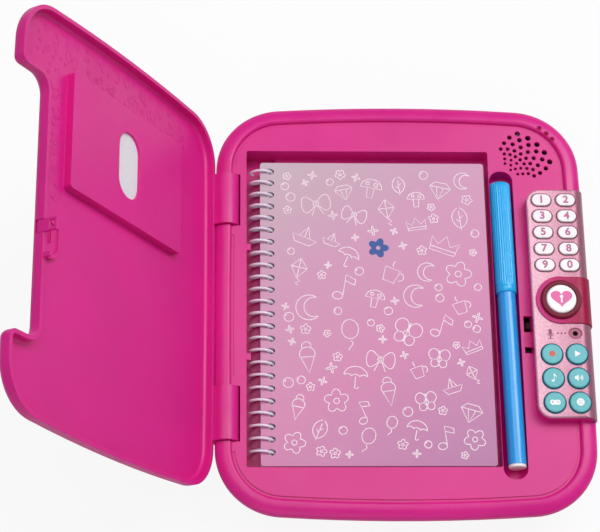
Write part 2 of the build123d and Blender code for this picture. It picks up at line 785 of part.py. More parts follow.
def heart_surround():
    """A thin plate round the large button that wraps over the right side of the bezel."""
    plan = Pos(heart_x, heart_y) * Circle(surround_radius)
    plan += Pos(heart_x + base_width / 4, heart_y) * Rectangle(base_width / 2, 2 * surround_radius - 0.4)
    skin = panel_dome(-surround_thickness) - panel_dome(0)
    plate = slab(plan, bezel_side_bottom, panel_top + 2) & skin
    return plate - slab(heart_shape(button_gap), bezel_under, panel_top + 2)


def heart_ring():
    top = panel_top + surround_thickness + ring_height
    ring = post(heart_x, heart_y, top - ring_height, top, heart_diameter + 2 * ring_width)
    ring = fillet(ring.edges().sort_by(Axis.Z)[-1], 1.0)
    return ring - slab(heart_shape(button_gap), top - ring_height - 1, top + 1)


def pressed_button(shape, proud, edge_round):
    """A button cap through the bezel with a flange below it."""
    cap = slab(shape(0), flange_bottom, panel_top + proud)
    cap = fillet(cap.faces().sort_by(Axis.Z)[-1].edges(), edge_round)
    flat_end = panel_side - bezel_side_round + 0.9
    flange = shape(flange_width) & (Pos(flat_end / 2, 0) * Rectangle(flat_end, base_depth))
    return cap + slab(flange, flange_bottom, flange_top)


def heart_button():
    return pressed_button(heart_shape, heart_proud, 1.0)


def digit_button(digit):
    return pressed_button(lambda grow: digit_shape(digit_spots[digit], grow), digit_proud, 0.5)


def function_button(name):
    return pressed_button(lambda grow: function_shape(function_spots[name], grow), function_proud, 0.6)


def board_plan(inset):
    """Plan of the main board, clear of the plinth and of the bezel's side."""
    left = panel_left + panel_wall + board_gap + inset
    right = base_width / 2 - 5.4 - inset
    edge = panel_wall + board_gap + inset
    return rounded(left, right, panel_near + edge, panel_far - edge, panel_corner - edge)


def keypad_membrane():
    membrane = slab(board_plan(0.4), board_top, membrane_top)
    spots = list(digit_spots.values()) + list(function_spots.values()) + [(heart_x, heart_y)]
    for x, y in spots:
        membrane += post(x, y, membrane_top - 0.1, dome_top, 4.0)
    for x, y in board_screw_spots:
        membrane -= post(x, y, board_top - 1, membrane_top + 1, board_boss_diameter + 0.4)
    return membrane


def main_board():
    board = slab(board_plan(0), board_under, board_top)
    for x, y in board_screw_spots:
        board -= post(x, y, board_under - 1, board_top + 1, board_screw_diameter)
    chip_y = digit_first_row - 1.5 * digit_row_pitch
    return board + box(digit_first_column - 4, digit_first_column + 6, chip_y - 5, chip_y + 5,
                       board_under - 1.4, board_under + 0.1)


def board_screws():
    screws = Part()
    for x, y in board_screw_spots:
        screws += post(x, y, board_under - 1.2, board_under, board_screw_head)
        screws += post(x, y, board_under, board_top + board_screw_grip, board_screw_diameter)
    return screws


def microphone():
    return post(microphone_x, microphone_y, bezel_under - microphone_thickness, bezel_under,
                microphone_diameter)


# --- Latch ---
def latch_bolt():
    right = bolt_left + bolt_length
    middle = bolt_z + bolt_thickness / 2
    bolt = box(bolt_left, right, latch_slot_y - bolt_width / 2, latch_slot_y + bolt_width / 2,
               bolt_z, bolt_z + bolt_thickness)
    nose = bolt.edges().filter_by(Axis.Y).sort_by(lambda edge: edge.center().X - edge.center().Z)[0]
    bolt = chamfer(nose, bolt_thickness * 0.5)
    bolt += along_x(right - bolt_collar_length, right, latch_slot_y, middle, bolt_collar_diameter)
    return bolt + along_x(right, right + rod_length, latch_slot_y, middle, rod_diameter)


def latch_spring():
    start = bolt_left + bolt_length + spring_wire / 2 + 0.05
    end = solenoid_x - spring_wire / 2 - 0.05
    middle = bolt_z + bolt_thickness / 2
    path = Helix((end - start) / spring_turns, end - start, spring_diameter / 2)
    wire = Plane(path @ 0, z_dir=path % 0) * Circle(spring_wire / 2)
    return Pos(start, latch_slot_y, middle) * Rot(0, 90, 0) * sweep(wire, path=path)


def latch_solenoid():
    middle = bolt_z + bolt_thickness / 2
    body = box(solenoid_x, solenoid_x + solenoid_length, latch_slot_y - solenoid_width / 2,
               latch_slot_y + solenoid_width / 2, solenoid_bottom, solenoid_bottom + solenoid_height)
    return body - along_x(solenoid_x - 1, solenoid_x + solenoid_length + 1, latch_slot_y, middle,
                          rod_diameter + 0.16)


def lid_switch():
    low = groove_bottom - groove_wall + shelf_thickness
    half = switch_size / 2
    middle = latch_slot_x + switch_offset
    body = box(middle - half, middle + half, switch_slot_y - half, switch_slot_y + half,
               low, low + switch_height)
    return body + post(latch_slot_x, switch_slot_y, low + switch_height,
                       lip_height - switch_finger_reach - 0.2, switch_plunger_diameter)


# --- Lid, drawn closed and then opened ---
def lid_plan(inset):
    """Plan of the lid with the notch that clears the keypad panel."""
    notch = rounded(panel_left - notch_gap - inset, base_width, panel_near - notch_gap - inset,
                    panel_far + notch_gap + inset, notch_corner + inset)
    plan = outline(lid_inset + inset) - notch
    free_edge = base_width / 2 - lid_inset - inset - 2
    ends = [v for v in plan.vertices() if v.X > free_edge and abs(v.Y) < panel_far + notch_gap + inset + 2]
    return fillet(ends, lid_end_round - inset)


def strap_section():
    """Section of the web between a knuckle and the lid, in the XZ plane."""
    radius = knuckle_diameter / 2
    shoulder = (lid_left - 0.8, lid_top - 1.1)
    dx, dz = shoulder[0] - hinge_x, shoulder[1] - hinge_z
    tangent = atan2(dz, dx) + acos(radius / hypot(dx, dz))
    touch = (hinge_x + radius * cos(tangent), hinge_z + radius * sin(tangent))
    inner = lid_left + lid_wall
    right = hinge_x + radius - 0.1
    points = [(hinge_x, hinge_z), touch, shoulder, (inner, shoulder[1]), (inner, lip_height),
              (right, lip_height), (right, hinge_z)]
    return make_face(Plane.XZ * Polyline(*points, close=True))


def lid_shell():
    body = slab(lid_plan(0), lip_height, lid_top)
    body = fillet(body.faces().sort_by(Axis.Z)[-1].edges(), lid_edge_round)
    hollow = slab(lid_plan(lid_wall), lip_height - 1, lid_under)
    body -= fillet(hollow.faces().sort_by(Axis.Z)[-1].edges(), lid_edge_round - lid_wall)
    body += slab(picture_plan(0), lid_under - picture_pad_height, lid_under + 0.5)
    body -= slab(picture_plan(picture_wall), picture_seat, lid_top + 1)
    body -= slab(stadium(finger_slot_x, finger_slot_y, finger_slot_width, finger_slot_length),
                 lid_under - picture_pad_height - 1, picture_seat + 1)
    for y in knuckle_middles():
        body += along_y(hinge_x, y - knuckle_length / 2, y + knuckle_length / 2, hinge_z, knuckle_diameter)
        body += extrude(Pos(0, y, 0) * strap_section(), knuckle_length / 2, both=True)
        body -= along_y(hinge_x, y - knuckle_length, y + knuckle_length, hinge_z,
                        pin_diameter + 2 * pin_running_gap)
    half = hook_half + 0.2
    body -= box(catch_right - 0.05, notch_wall + 1, latch_slot_y - half, latch_slot_y + half,
                lip_height - 1, lid_under)
    finger = switch_slot_length / 2 - 0.7
    body += box(hook_left, hook_left + hook_thickness, switch_slot_y - finger, switch_slot_y + finger,
                lip_height - switch_finger_reach, lip_height + 1)
    return closed(body)


def picture_plan(inset):
    """Plan of the picture pocket that stands out on the lid's inner face."""
    return rounded(picture_left + inset, picture_right - inset, picture_near + inset, picture_far - inset,
                   max(picture_corner, inset + 0.5) - inset + 0.3)


def picture_card():
    return closed(slab(picture_plan(picture_wall + 0.3), picture_seat, picture_seat + card_thickness))


def picture_window():
    low = picture_seat + card_thickness
    return closed(slab(picture_plan(picture_wall + 0.3), low, low + window_thickness))


def picture_frame_bezel():
    low = picture_seat + card_thickness + window_thickness
    ring = slab(picture_plan(picture_wall + 0.1), low, lid_top + frame_bezel_proud)
    ring -= slab(picture_plan(picture_wall + frame_bezel_width), low - 1, lid_top + 2)
    return closed(ring)


def lid_catch():
    """The D-shaped pad behind the notch, with the hook that drops into the latch slot."""
    near, far = catch_y - catch_length / 2, catch_y + catch_length / 2
    plan = Pos((catch_x + catch_right) / 2, catch_y) * Rectangle(catch_right - catch_x, catch_length)
    corners = plan.vertices().group_by(Axis.X)[0].sort_by(Axis.Y)
    plan = fillet(corners[0], 8.0)
    plan = fillet(plan.vertices().sort_by_distance(Vector(catch_x, far, 0))[0], 3.5)
    low = lid_under - catch_thickness
    pad = slab(plan, low, lid_under)
    pad -= slab(offset(plan, -catch_rim_width), low - 1, low + catch_rim_height)
    pad -= slab(stadium(catch_x + catch_slot_inset, latch_slot_y, catch_slot_width, catch_slot_length),
                low - 1, lid_under - 0.6)
    pad += box(catch_right - 1, hook_left + 0.4, latch_slot_y - hook_half, latch_slot_y + hook_half,
               low, lid_under)
    hook = box(hook_left, hook_left + hook_thickness, latch_slot_y - hook_half, latch_slot_y + hook_half,
               lip_height - hook_reach, lid_top - lid_edge_round)
    window = bolt_width / 2 + bolt_gap
    hook -= box(hook_left - 1, hook_left + hook_thickness + 1, latch_slot_y - window, latch_slot_y + window,
                bolt_z - bolt_gap, bolt_z + bolt_thickness + bolt_gap)
    return closed(pad + hook)


def hinge_pin(y):
    reach = knuckle_length / 2 + knuckle_end_gap + hinge_block_end - 1
    return along_y(hinge_x, y - reach, y + reach, hinge_z, pin_diameter)


# --- Notebook ---
def coil_channel(turn, radius):
    """One turn of the coil as a ring about the coil's axis."""
    return Pos(coil_x, coil_turn_y(turn), coil_z) * Rot(90, 0, 0) * Torus(coil_mean, radius)


def sheet_block(low, high, inset):
    """A stack of paper or one cover, with its holes for the coil."""
    block = slab(rounded(notebook_x + inset, notebook_x + notebook_width - inset, notebook_y + inset,
                         notebook_y + notebook_height - inset, notebook_corner), low, high)
    channels = [coil_channel(turn, coil_hole_diameter / 2) for turn in range(coil_holes)]
    return block - channels


def notebook_front_cover():
    return sheet_block(cover_top - front_cover_thickness, cover_top, 0)


def notebook_pages():
    return sheet_block(pocket_floor + back_cover_thickness, cover_top - front_cover_thickness, page_inset)


def notebook_back_cover():
    return sheet_block(pocket_floor, pocket_floor + back_cover_thickness, 0)


def notebook_coil():
    return Compound(children=[coil_channel(turn, coil_wire / 2) for turn in range(coil_holes)])


# --- Pen, drawn along Y from its cap end and then tilted ---
def in_groove(part):
    """Turns a pen piece, drawn along -Y from the origin, into the groove."""
    return Pos(pen_x - pen_length / 2 * sin(radians(pen_tilt)), pen_top_y, pen_z) * Rot(0, 0, pen_tilt) * part


def pen_cap():
    cap = along_y(0, -cap_length, 0, 0, cap_diameter)
    cap = fillet(cap.edges().sort_by(Axis.Y)[-1], 0.8)
    mouth = -cap_length
    cap -= along_y(0, mouth - 1, mouth + cap_seat + 0.3, 0, neck_diameter + 0.1)
    return in_groove(cap - along_y(0, mouth, mouth + cap_seat + tip_length + 3, 0, tip_diameter + 2))


def pen_barrel():
    near = -cap_length - barrel_length
    barrel = along_y(0, near, -cap_length, 0, barrel_diameter)
    barrel += along_y(0, -cap_length - 1, -cap_length + cap_seat, 0, neck_diameter)
    barrel -= along_y(0, near - 1, near + 6, 0, end_plug_diameter - 1.2)
    neck_end = -cap_length + cap_seat
    return in_groove(barrel - along_y(0, neck_end - 6, neck_end + 1, 0, tip_diameter))


def pen_tip():
    start = -cap_length + cap_seat
    tip = along_y(0, start - 6, start + tip_length - 2, 0, tip_diameter)
    point = Pos(0, start + tip_length - 1, 0) * Rot(-90, 0, 0) * Cone(tip_diameter / 2, 0.4, 2)
    return in_groove(tip + point)


def pen_end_plug():
    near = -cap_length - barrel_length
    plug = along_y(0, near - end_plug_length, near, 0, end_plug_diameter)
    plug = fillet(plug.edges().sort_by(Axis.Y)[0], 0.6)
    return in_groove(plug + along_y(0, near - 0.5, near + 6, 0, end_plug_diameter - 1.2))


# --- Every sub-part, by the name of its file ---
def all_parts():
    parts = {
        "base_top_shell": base_top_shell(),
        "base_bottom_shell": base_bottom_shell(),
        "case_screws": case_screws(),
        "battery_door": battery_door(),
        "battery_door_screw": battery_door_screw(),
        "battery_contacts": battery_contacts(),
        "speaker_frame": speaker_frame(),
        "speaker_cone": speaker_cone(),
        "speaker_magnet": speaker_magnet(),
        "keypad_bezel": keypad_bezel(),
        "heart_surround": heart_surround(),
        "heart_ring": heart_ring(),
        "heart_button": heart_button(),
        "keypad_membrane": keypad_membrane(),
        "main_board": main_board(),
        "board_screws": board_screws(),
        "microphone": microphone(),
        "latch_bolt": latch_bolt(),
        "latch_spring": latch_spring(),
        "latch_solenoid": latch_solenoid(),
        "lid_switch": lid_switch(),
        "lid_shell": lid_shell(),
        "lid_catch": lid_catch(),
        "picture_card": picture_card(),
        "picture_window": picture_window(),
        "picture_frame_bezel": picture_frame_bezel(),
        "hinge_pin_near": hinge_pin(-hinge_spacing / 2),
        "hinge_pin_far": hinge_pin(hinge_spacing / 2),
        "notebook_front_cover": notebook_front_cover(),
        "notebook_pages": notebook_pages(),
        "notebook_back_cover": notebook_back_cover(),
        "notebook_coil": notebook_coil(),
        "pen_cap": pen_cap(),
        "pen_barrel": pen_barrel(),
        "pen_tip": pen_tip(),
        "pen_end_plug": pen_end_plug(),
    }
    for place in range(3):
        parts[f"battery_{place + 1}"] = battery(place)
    for digit in digit_spots:
        parts[f"digit_button_{digit}"] = digit_button(digit)
    for name in function_spots:
        parts[f"{name}_button"] = function_button(name)
    return parts


os.makedirs("parts", exist_ok=True)
for part_name, shape in all_parts().items():
    export_step(shape, f"parts/{part_name}.step")
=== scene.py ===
# %% [markdown]
# # Electronic secret diary
# A toy diary case lies open on a table. Its lid stands open on the left, a coil-bound notebook
# and a felt pen lie in the base, and a panel of keys runs down the right side.
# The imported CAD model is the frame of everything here: it gives each piece its place and its
# size. This lesson gives the pieces their finishes and adds what is too fine for the CAD.

# %% Load the frame
import json
import math
import random

import bmesh
import bpy
from mathutils import Matrix, Vector
from mathutils.geometry import convex_hull_2d, tessellate_polygon


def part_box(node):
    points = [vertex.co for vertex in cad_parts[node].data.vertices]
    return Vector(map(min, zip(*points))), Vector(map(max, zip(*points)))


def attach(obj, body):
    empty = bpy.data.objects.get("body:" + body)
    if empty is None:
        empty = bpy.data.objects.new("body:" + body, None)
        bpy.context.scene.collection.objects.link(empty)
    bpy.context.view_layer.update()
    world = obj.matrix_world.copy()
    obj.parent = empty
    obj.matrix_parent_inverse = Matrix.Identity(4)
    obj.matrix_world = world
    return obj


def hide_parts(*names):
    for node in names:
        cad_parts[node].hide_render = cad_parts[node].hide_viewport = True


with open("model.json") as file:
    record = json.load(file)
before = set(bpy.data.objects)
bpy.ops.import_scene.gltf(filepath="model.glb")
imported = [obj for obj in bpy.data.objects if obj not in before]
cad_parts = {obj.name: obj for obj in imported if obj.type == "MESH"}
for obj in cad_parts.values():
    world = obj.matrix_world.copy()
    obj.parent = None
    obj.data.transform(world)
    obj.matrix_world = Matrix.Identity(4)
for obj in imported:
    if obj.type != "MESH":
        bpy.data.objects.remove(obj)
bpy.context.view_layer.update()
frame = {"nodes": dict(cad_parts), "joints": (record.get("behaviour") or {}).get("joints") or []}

MM = 0.001
NODES = frame["nodes"]

# %% [markdown]
# ## Camera
# The diary is seen from the near side and high above, through a long lens, so its lines stay
# almost parallel. The camera is placed on a sphere round a point of the deck: an azimuth, an
# elevation and a distance give its place, and a small roll tips the view.

# %% Camera
TARGET = Vector((-49.98, 20.14, 30.0)) * MM
AZIMUTH, ELEVATION, ROLL = (math.radians(a) for a in (-5.69, 68.52, 5.46))
DISTANCE = 924.12 * MM

outward = Vector((math.sin(AZIMUTH) * math.cos(ELEVATION),
                  -math.cos(AZIMUTH) * math.cos(ELEVATION), math.sin(ELEVATION)))
right = (-outward).cross(Vector((0, 0, 1))).normalized()
up = right.cross(-outward)
rolled_right = right * math.cos(ROLL) + up * math.sin(ROLL)
rolled_up = up * math.cos(ROLL) - right * math.sin(ROLL)

camera = bpy.data.objects.new("camera", bpy.data.cameras.new("camera"))
bpy.context.scene.collection.objects.link(camera)
turn = Matrix((rolled_right, rolled_up, outward)).transposed().to_4x4()
camera.matrix_world = Matrix.Translation(TARGET + outward * DISTANCE) @ turn
camera.data.lens = 112.5
camera.data.sensor_width = 36.0
camera.data.clip_start = 0.05
camera.data.clip_end = 20.0
bpy.context.scene.camera = camera
print("camera at", [round(c, 3) for c in camera.location])

# %% [markdown]
# ## Light
# A large soft lamp high on the right and behind lights the deck and the rounded rims, and
# leaves the walls that face the reader darker. A second one above the lid evens out that side,
# and a weak one fills in from the near side. The world adds a little light from all round. The
# camera sees the world as plain white, which a Light Path node keeps apart from its light.

# %% World
WORLD_LIGHT = 0.31
scene = bpy.context.scene
scene.view_settings.view_transform = "Standard"
world = bpy.data.worlds.new("room")
scene.world = world
world.use_nodes = True
tree = world.node_tree
tree.nodes.clear()
surroundings = tree.nodes.new("ShaderNodeBackground")
surroundings.inputs["Color"].default_value = (1.0, 0.98, 0.99, 1.0)
surroundings.inputs["Strength"].default_value = WORLD_LIGHT
backdrop = tree.nodes.new("ShaderNodeBackground")
backdrop.inputs["Color"].default_value = (1.0, 1.0, 1.0, 1.0)
backdrop.inputs["Strength"].default_value = 1.0
rays = tree.nodes.new("ShaderNodeLightPath")
pick = tree.nodes.new("ShaderNodeMixShader")
world_out = tree.nodes.new("ShaderNodeOutputWorld")
tree.links.new(rays.outputs["Is Camera Ray"], pick.inputs[0])
tree.links.new(surroundings.outputs[0], pick.inputs[1])
tree.links.new(backdrop.outputs[0], pick.inputs[2])
tree.links.new(pick.outputs[0], world_out.inputs["Surface"])
print("world light:", WORLD_LIGHT)

# %% Lamps
LAMP_AIM = Vector((0.0, 0.0, 0.03))


def soft_lamp(name, place, power, size):
    """A square area lamp at a place, turned to the middle of the deck."""
    data = bpy.data.lights.new(name, "AREA")
    data.energy = power
    data.size = size
    lamp = bpy.data.objects.new(name, data)
    lamp.location = place
    lamp.rotation_euler = (LAMP_AIM - Vector(place)).to_track_quat("-Z", "Y").to_euler()
    scene.collection.objects.link(lamp)
    return lamp


lamps = [soft_lamp("key_lamp", (0.72, 0.55, 1.2), power=11.0, size=0.8),
         soft_lamp("top_lamp", (-0.25, 0.2, 1.5), power=6.4, size=1.0),
         soft_lamp("fill_lamp", (-0.3, -1.3, 0.8), power=2.1, size=0.9)]
print("lamps:", {lamp.name: round(lamp.data.energy, 1) for lamp in lamps})

# %% [markdown]
# ## Floor
# The floor is plain and almost white, and still takes the object's shadow: the camera sees a
# mix of plain white and a lit pale surface. It has an opening where the case stands on it, so a
# view from below shows the underside.

# %% Floor
WHITE_SHARE = 0.9
FLOOR_REACH = 3.0


def floor_material():
    """Pale floor that looks white to the camera but keeps part of the shadow on it."""
    material = bpy.data.materials.new("floor_white")
    material.use_nodes = True
    nodes, links = material.node_tree.nodes, material.node_tree.links
    nodes.clear()
    lit = nodes.new("ShaderNodeBsdfDiffuse")
    lit.inputs["Color"].default_value = (0.86, 0.85, 0.86, 1.0)
    white = nodes.new("ShaderNodeEmission")
    white.inputs["Color"].default_value = (1.0, 1.0, 1.0, 1.0)
    white.inputs["Strength"].default_value = 1.0
    both = nodes.new("ShaderNodeMixShader")
    seen = nodes.new("ShaderNodeLightPath")
    share = nodes.new("ShaderNodeMath")
    share.operation = "MULTIPLY"
    share.inputs[1].default_value = WHITE_SHARE
    out = nodes.new("ShaderNodeOutputMaterial")
    links.new(seen.outputs["Is Camera Ray"], share.inputs[0])
    links.new(share.outputs[0], both.inputs[0])
    links.new(lit.outputs[0], both.inputs[1])
    links.new(white.outputs[0], both.inputs[2])
    links.new(both.outputs[0], out.inputs["Surface"])
    return material


def floor_sheet():
    """A large sheet with an opening a hundredth smaller than what the case stands on."""
    shell = NODES["base_bottom_shell"].data
    touching = [vertex.co.to_2d() for vertex in shell.vertices if vertex.co.z < 0.05 * MM]
    outline = [touching[index] * 0.99 for index in convex_hull_2d(touching)]
    corners = [Vector((x, y)) * FLOOR_REACH for x, y in ((-1, -1), (1, -1), (1, 1), (-1, 1))]
    triangles = tessellate_polygon([[point.to_3d() for point in loop] for loop in (corners, outline)])
    sheet = bpy.data.meshes.new("floor")
    sheet.from_pydata([point.to_3d() for point in corners + outline], [], triangles)
    return sheet


floor = bpy.data.objects.new("floor", floor_sheet())
scene.collection.objects.link(floor)
floor.data.materials.append(floor_material())
print("floor faces:", len(floor.data.polygons))

# %% [markdown]
# ## Moulded plastic
# Almost every piece is injection-moulded ABS. Its colour goes right through, its surface has a
# very fine spark-eroded grain, and handling leaves patches that shine a little more than the
# rest. One helper builds that finish: noise moves the colour and the roughness a little, fine
# noise is the grain, and a bevel node rounds each moulded edge so that it catches light. Where
# the plastic lets some light in, a share of subsurface scattering softens its shading.


# %% Colours
def linear(red, green, blue):
    """A colour written as 0 to 255 on a screen, as the shader wants it."""
    def channel(value):
        share = value / 255
        return share / 12.92 if share <= 0.04045 else ((share + 0.055) / 1.055) ** 2.4
    return (channel(red), channel(green), channel(blue), 1.0)


def scaled(colour, factor):
    """The same colour, darker or lighter."""
    return tuple(min(1.0, part * factor) for part in colour[:3]) + (1.0,)


PINK = linear(218, 20, 138)
print("the case's pink:", [round(part, 3) for part in PINK])


# %% Node helpers
def new_material(name):
    """A new node material; returns it with its nodes, links, shader and texture coordinates."""
    material = bpy.data.materials.new(name)
    material.use_nodes = True
    nodes, links = material.node_tree.nodes, material.node_tree.links
    shader = nodes["Principled BSDF"]
    place = nodes.new("ShaderNodeTexCoord")
    return material, nodes, links, shader, place


def noise(nodes, links, place, scale, detail=2.0):
    """Noise in the object's own metres."""
    texture = nodes.new("ShaderNodeTexNoise")
    texture.inputs["Scale"].default_value = scale
    texture.inputs["Detail"].default_value = detail
    links.new(place.outputs["Object"], texture.inputs["Vector"])
    return texture


def ramp(nodes, links, source, stops):
    """A colour ramp on a 0 to 1 source."""
    band = nodes.new("ShaderNodeValToRGB")
    elements = band.color_ramp.elements
    while len(elements) < len(stops):
        elements.new(0.5)
    for element, (position, colour) in zip(elements, stops):
        element.position = position
        element.color = colour
    links.new(source, band.inputs["Fac"])
    return band


def spread(nodes, links, source, low, high):
    """Maps the middle of a noise to a range of values."""
    fit = nodes.new("ShaderNodeMapRange")
    fit.inputs["From Min"].default_value = 0.35
    fit.inputs["From Max"].default_value = 0.65
    fit.inputs["To Min"].default_value = low
    fit.inputs["To Max"].default_value = high
    links.new(source, fit.inputs["Value"])
    return fit


def along(nodes, links, place, start, end):
    """A 0 to 1 value that grows from one point of the object to another."""
    run = end - start
    dot = nodes.new("ShaderNodeVectorMath")
    dot.operation = "DOT_PRODUCT"
    dot.inputs[1].default_value = run / run.length_squared
    links.new(place.outputs["Object"], dot.inputs[0])
    shift = nodes.new("ShaderNodeMath")
    shift.operation = "SUBTRACT"
    shift.inputs[1].default_value = start.dot(run) / run.length_squared
    links.new(dot.outputs["Value"], shift.inputs[0])
    return shift.outputs[0]


def relief(nodes, links, shader, heights, depth, edge):
    """Surface grain of a depth as bump, over edges rounded to a radius by a bevel node."""
    bump = nodes.new("ShaderNodeBump")
    bump.inputs["Strength"].default_value = 1.0
    bump.inputs["Distance"].default_value = depth
    links.new(heights, bump.inputs["Height"])
    if edge:
        rounding = nodes.new("ShaderNodeBevel")
        rounding.samples = 4
        rounding.inputs["Radius"].default_value = edge
        links.new(rounding.outputs[0], bump.inputs["Normal"])
    links.new(bump.outputs[0], shader.inputs["Normal"])


# %% Moulded finish
def moulded(name, colour, rough=0.36, grain=900.0, depth=0.012 * MM, coat=0.0, edge=0.35 * MM,
            glow=0.0, gloss=0.5):
    """Moulded plastic: a through-colour with slight drift, fine grain and rounded edges."""
    material, nodes, links, shader, place = new_material(name)
    drift = noise(nodes, links, place, 28.0)
    tint = ramp(nodes, links, drift.outputs[0], [(0.3, scaled(colour, 0.95)), (0.7, scaled(colour, 1.05))])
    links.new(tint.outputs[0], shader.inputs["Base Color"])
    touched = noise(nodes, links, place, 55.0, 4.0)
    shine = spread(nodes, links, touched.outputs[0], rough - 0.05, rough + 0.06)
    links.new(shine.outputs[0], shader.inputs["Roughness"])
    pores = noise(nodes, links, place, grain, 3.0)
    relief(nodes, links, shader, pores.outputs[0], depth=depth, edge=edge)
    shader.inputs["Coat Weight"].default_value = coat
    shader.inputs["Coat Roughness"].default_value = 0.2
    shader.inputs["Specular IOR Level"].default_value = gloss
    if glow:
        shader.inputs["Subsurface Weight"].default_value = glow
        shader.inputs["Subsurface Radius"].default_value = (1.0, 0.35, 0.5)
        shader.inputs["Subsurface Scale"].default_value = 1.5 * MM
    return material


def dress(material, *names):
    """Gives CAD nodes a finish."""
    for name in names:
        slots = NODES[name].data.materials
        slots.clear()
        slots.append(material)


# %% Case and lid
case_pink = moulded("case_pink", PINK, rough=0.34, glow=0.12)
lid_pink = moulded("lid_pink", PINK, rough=0.40, glow=0.12)
dress(case_pink, "base_top_shell", "base_bottom_shell", "battery_door")
dress(lid_pink, "lid_shell", "lid_catch")
frame_pink = moulded("frame_pink", linear(212, 24, 128), rough=0.28, coat=0.3)
dress(frame_pink, "picture_frame_bezel")
print("pink plastic on the case, the lid and the picture's frame")

# %% [markdown]
# ## Pearl keypad panel
# The panel's paint holds mica flakes, so it looks silvery pink where light glances off it and
# deeper pink where it turns away. Small Voronoi cells tilt the shading a little, as flakes do. A
# gradient across the piece paints that shade into the colour, from pale beside the notebook to
# deep where the panel curves down at the right. The surround of the heart key gets the same
# painted shade in crimson, without the metallic gleam.


# %% Pearl panel
def pearl(name, node, stops, metallic, coat, gloss):
    """Pearl paint: fine flakes over painted shade deepening across the piece, under a soft clear coat."""
    material, nodes, links, shader, place = new_material(name)
    low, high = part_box(node)
    # Across the piece the tone deepens to the right: painted shade where it curves away from the light.
    across = along(nodes, links, place, Vector((low.x, 0, 0)), Vector((high.x, 0, 0)))
    tone = ramp(nodes, links, across, stops)
    flakes = nodes.new("ShaderNodeTexVoronoi")
    flakes.inputs["Scale"].default_value = 2600.0
    links.new(place.outputs["Object"], flakes.inputs["Vector"])
    flake_stops = [(0.2, (0.7, 0.7, 0.72, 1)), (0.85, (1, 1, 1, 1))]
    sparkle_tone = ramp(nodes, links, flakes.outputs["Color"], flake_stops)
    tint = nodes.new("ShaderNodeMix")
    tint.data_type = "RGBA"
    tint.blend_type = "MULTIPLY"
    tint.inputs["Factor"].default_value = 1.0
    links.new(tone.outputs[0], tint.inputs["A"])
    links.new(sparkle_tone.outputs[0], tint.inputs["B"])
    links.new(tint.outputs["Result"], shader.inputs["Base Color"])
    clouds = noise(nodes, links, place, 70.0, 3.0)
    shine = spread(nodes, links, clouds.outputs[0], 0.3, 0.4)
    links.new(shine.outputs[0], shader.inputs["Roughness"])
    relief(nodes, links, shader, flakes.outputs["Distance"], depth=0.02 * MM, edge=0.4 * MM)
    shader.inputs["Metallic"].default_value = metallic
    shader.inputs["Specular IOR Level"].default_value = gloss
    shader.inputs["Coat Weight"].default_value = coat
    shader.inputs["Coat Roughness"].default_value = 0.25
    return material


# Pale on the left, deep on the right: painted shade, for both the panel and the surround.
PEARL_TONES_PAINTED_SHADE = [(0.0, linear(230, 176, 194)), (0.35, linear(218, 156, 178)), (0.75, linear(192, 122, 148)),
               (1.0, linear(146, 76, 104))]
SURROUND_TONES_PAINTED_SHADE = [(0.0, linear(222, 40, 142)), (0.45, linear(208, 16, 112)), (0.8, linear(176, 8, 74)),
                  (1.0, linear(150, 6, 56))]
dress(pearl("bezel_pearl", "keypad_bezel", PEARL_TONES_PAINTED_SHADE, metallic=0.25, coat=0.3, gloss=0.5),
      "keypad_bezel")
dress(pearl("surround_pearl", "heart_surround", SURROUND_TONES_PAINTED_SHADE, metallic=0.0, coat=0.0, gloss=0.25),
      "heart_surround")
print("pearl paint on the panel and the surround")

# %% [markdown]
# ## Keys
# The digit keys are almost white and let a little light in. The six round keys are teal, and
# the large heart key is glossy white in a dark maroon ring.

# %% Keys
DIGITS = "1234567890"
FUNCTIONS = ("record", "play", "music", "speaker", "game", "face")
digit_nodes = [f"digit_button_{digit}" for digit in DIGITS]
function_nodes = [f"{name}_button" for name in FUNCTIONS]
dress(moulded("digit_white", linear(250, 243, 247), rough=0.35, edge=0.3 * MM, glow=0.3), *digit_nodes)
dress(moulded("function_teal", linear(98, 190, 198), rough=0.35, edge=0.3 * MM, glow=0.15),
      *function_nodes)
dress(moulded("heart_white", linear(250, 244, 246), rough=0.2, coat=0.5, glow=0.2), "heart_button")
dress(moulded("ring_maroon", linear(118, 14, 46), rough=0.32, gloss=0.2), "heart_ring")
print("keys:", len(digit_nodes) + len(function_nodes) + 1)

# %% [markdown]
# ## Metal, rubber, board and batteries
# Most of these lie inside the case, and show only when it is opened, through an opening or from
# below. They still get their own finish: brushed zinc and steel, matt rubber, dark felt over
# the microphone, a green board and a glossy battery sleeve.


# %% Inner pieces
def metal(name, colour, rough, stretch=(1.0, 1.0, 1.0)):
    """Bare metal with fine scratches; stretch below 1 draws them out along an axis."""
    material, nodes, links, shader, place = new_material(name)
    scratches = noise(nodes, links, place, 1500.0, 3.0)
    stretched = nodes.new("ShaderNodeMapping")
    stretched.inputs["Scale"].default_value = stretch
    links.new(place.outputs["Object"], stretched.inputs["Vector"])
    links.new(stretched.outputs[0], scratches.inputs["Vector"])
    stops = [(0.3, scaled(colour, 0.88)), (0.7, scaled(colour, 1.08))]
    tint = ramp(nodes, links, scratches.outputs[0], stops)
    links.new(tint.outputs[0], shader.inputs["Base Color"])
    shine = spread(nodes, links, scratches.outputs[0], rough - 0.06, rough + 0.08)
    links.new(shine.outputs[0], shader.inputs["Roughness"])
    relief(nodes, links, shader, scratches.outputs[0], depth=0.004 * MM, edge=0.1 * MM)
    shader.inputs["Metallic"].default_value = 1.0
    return material


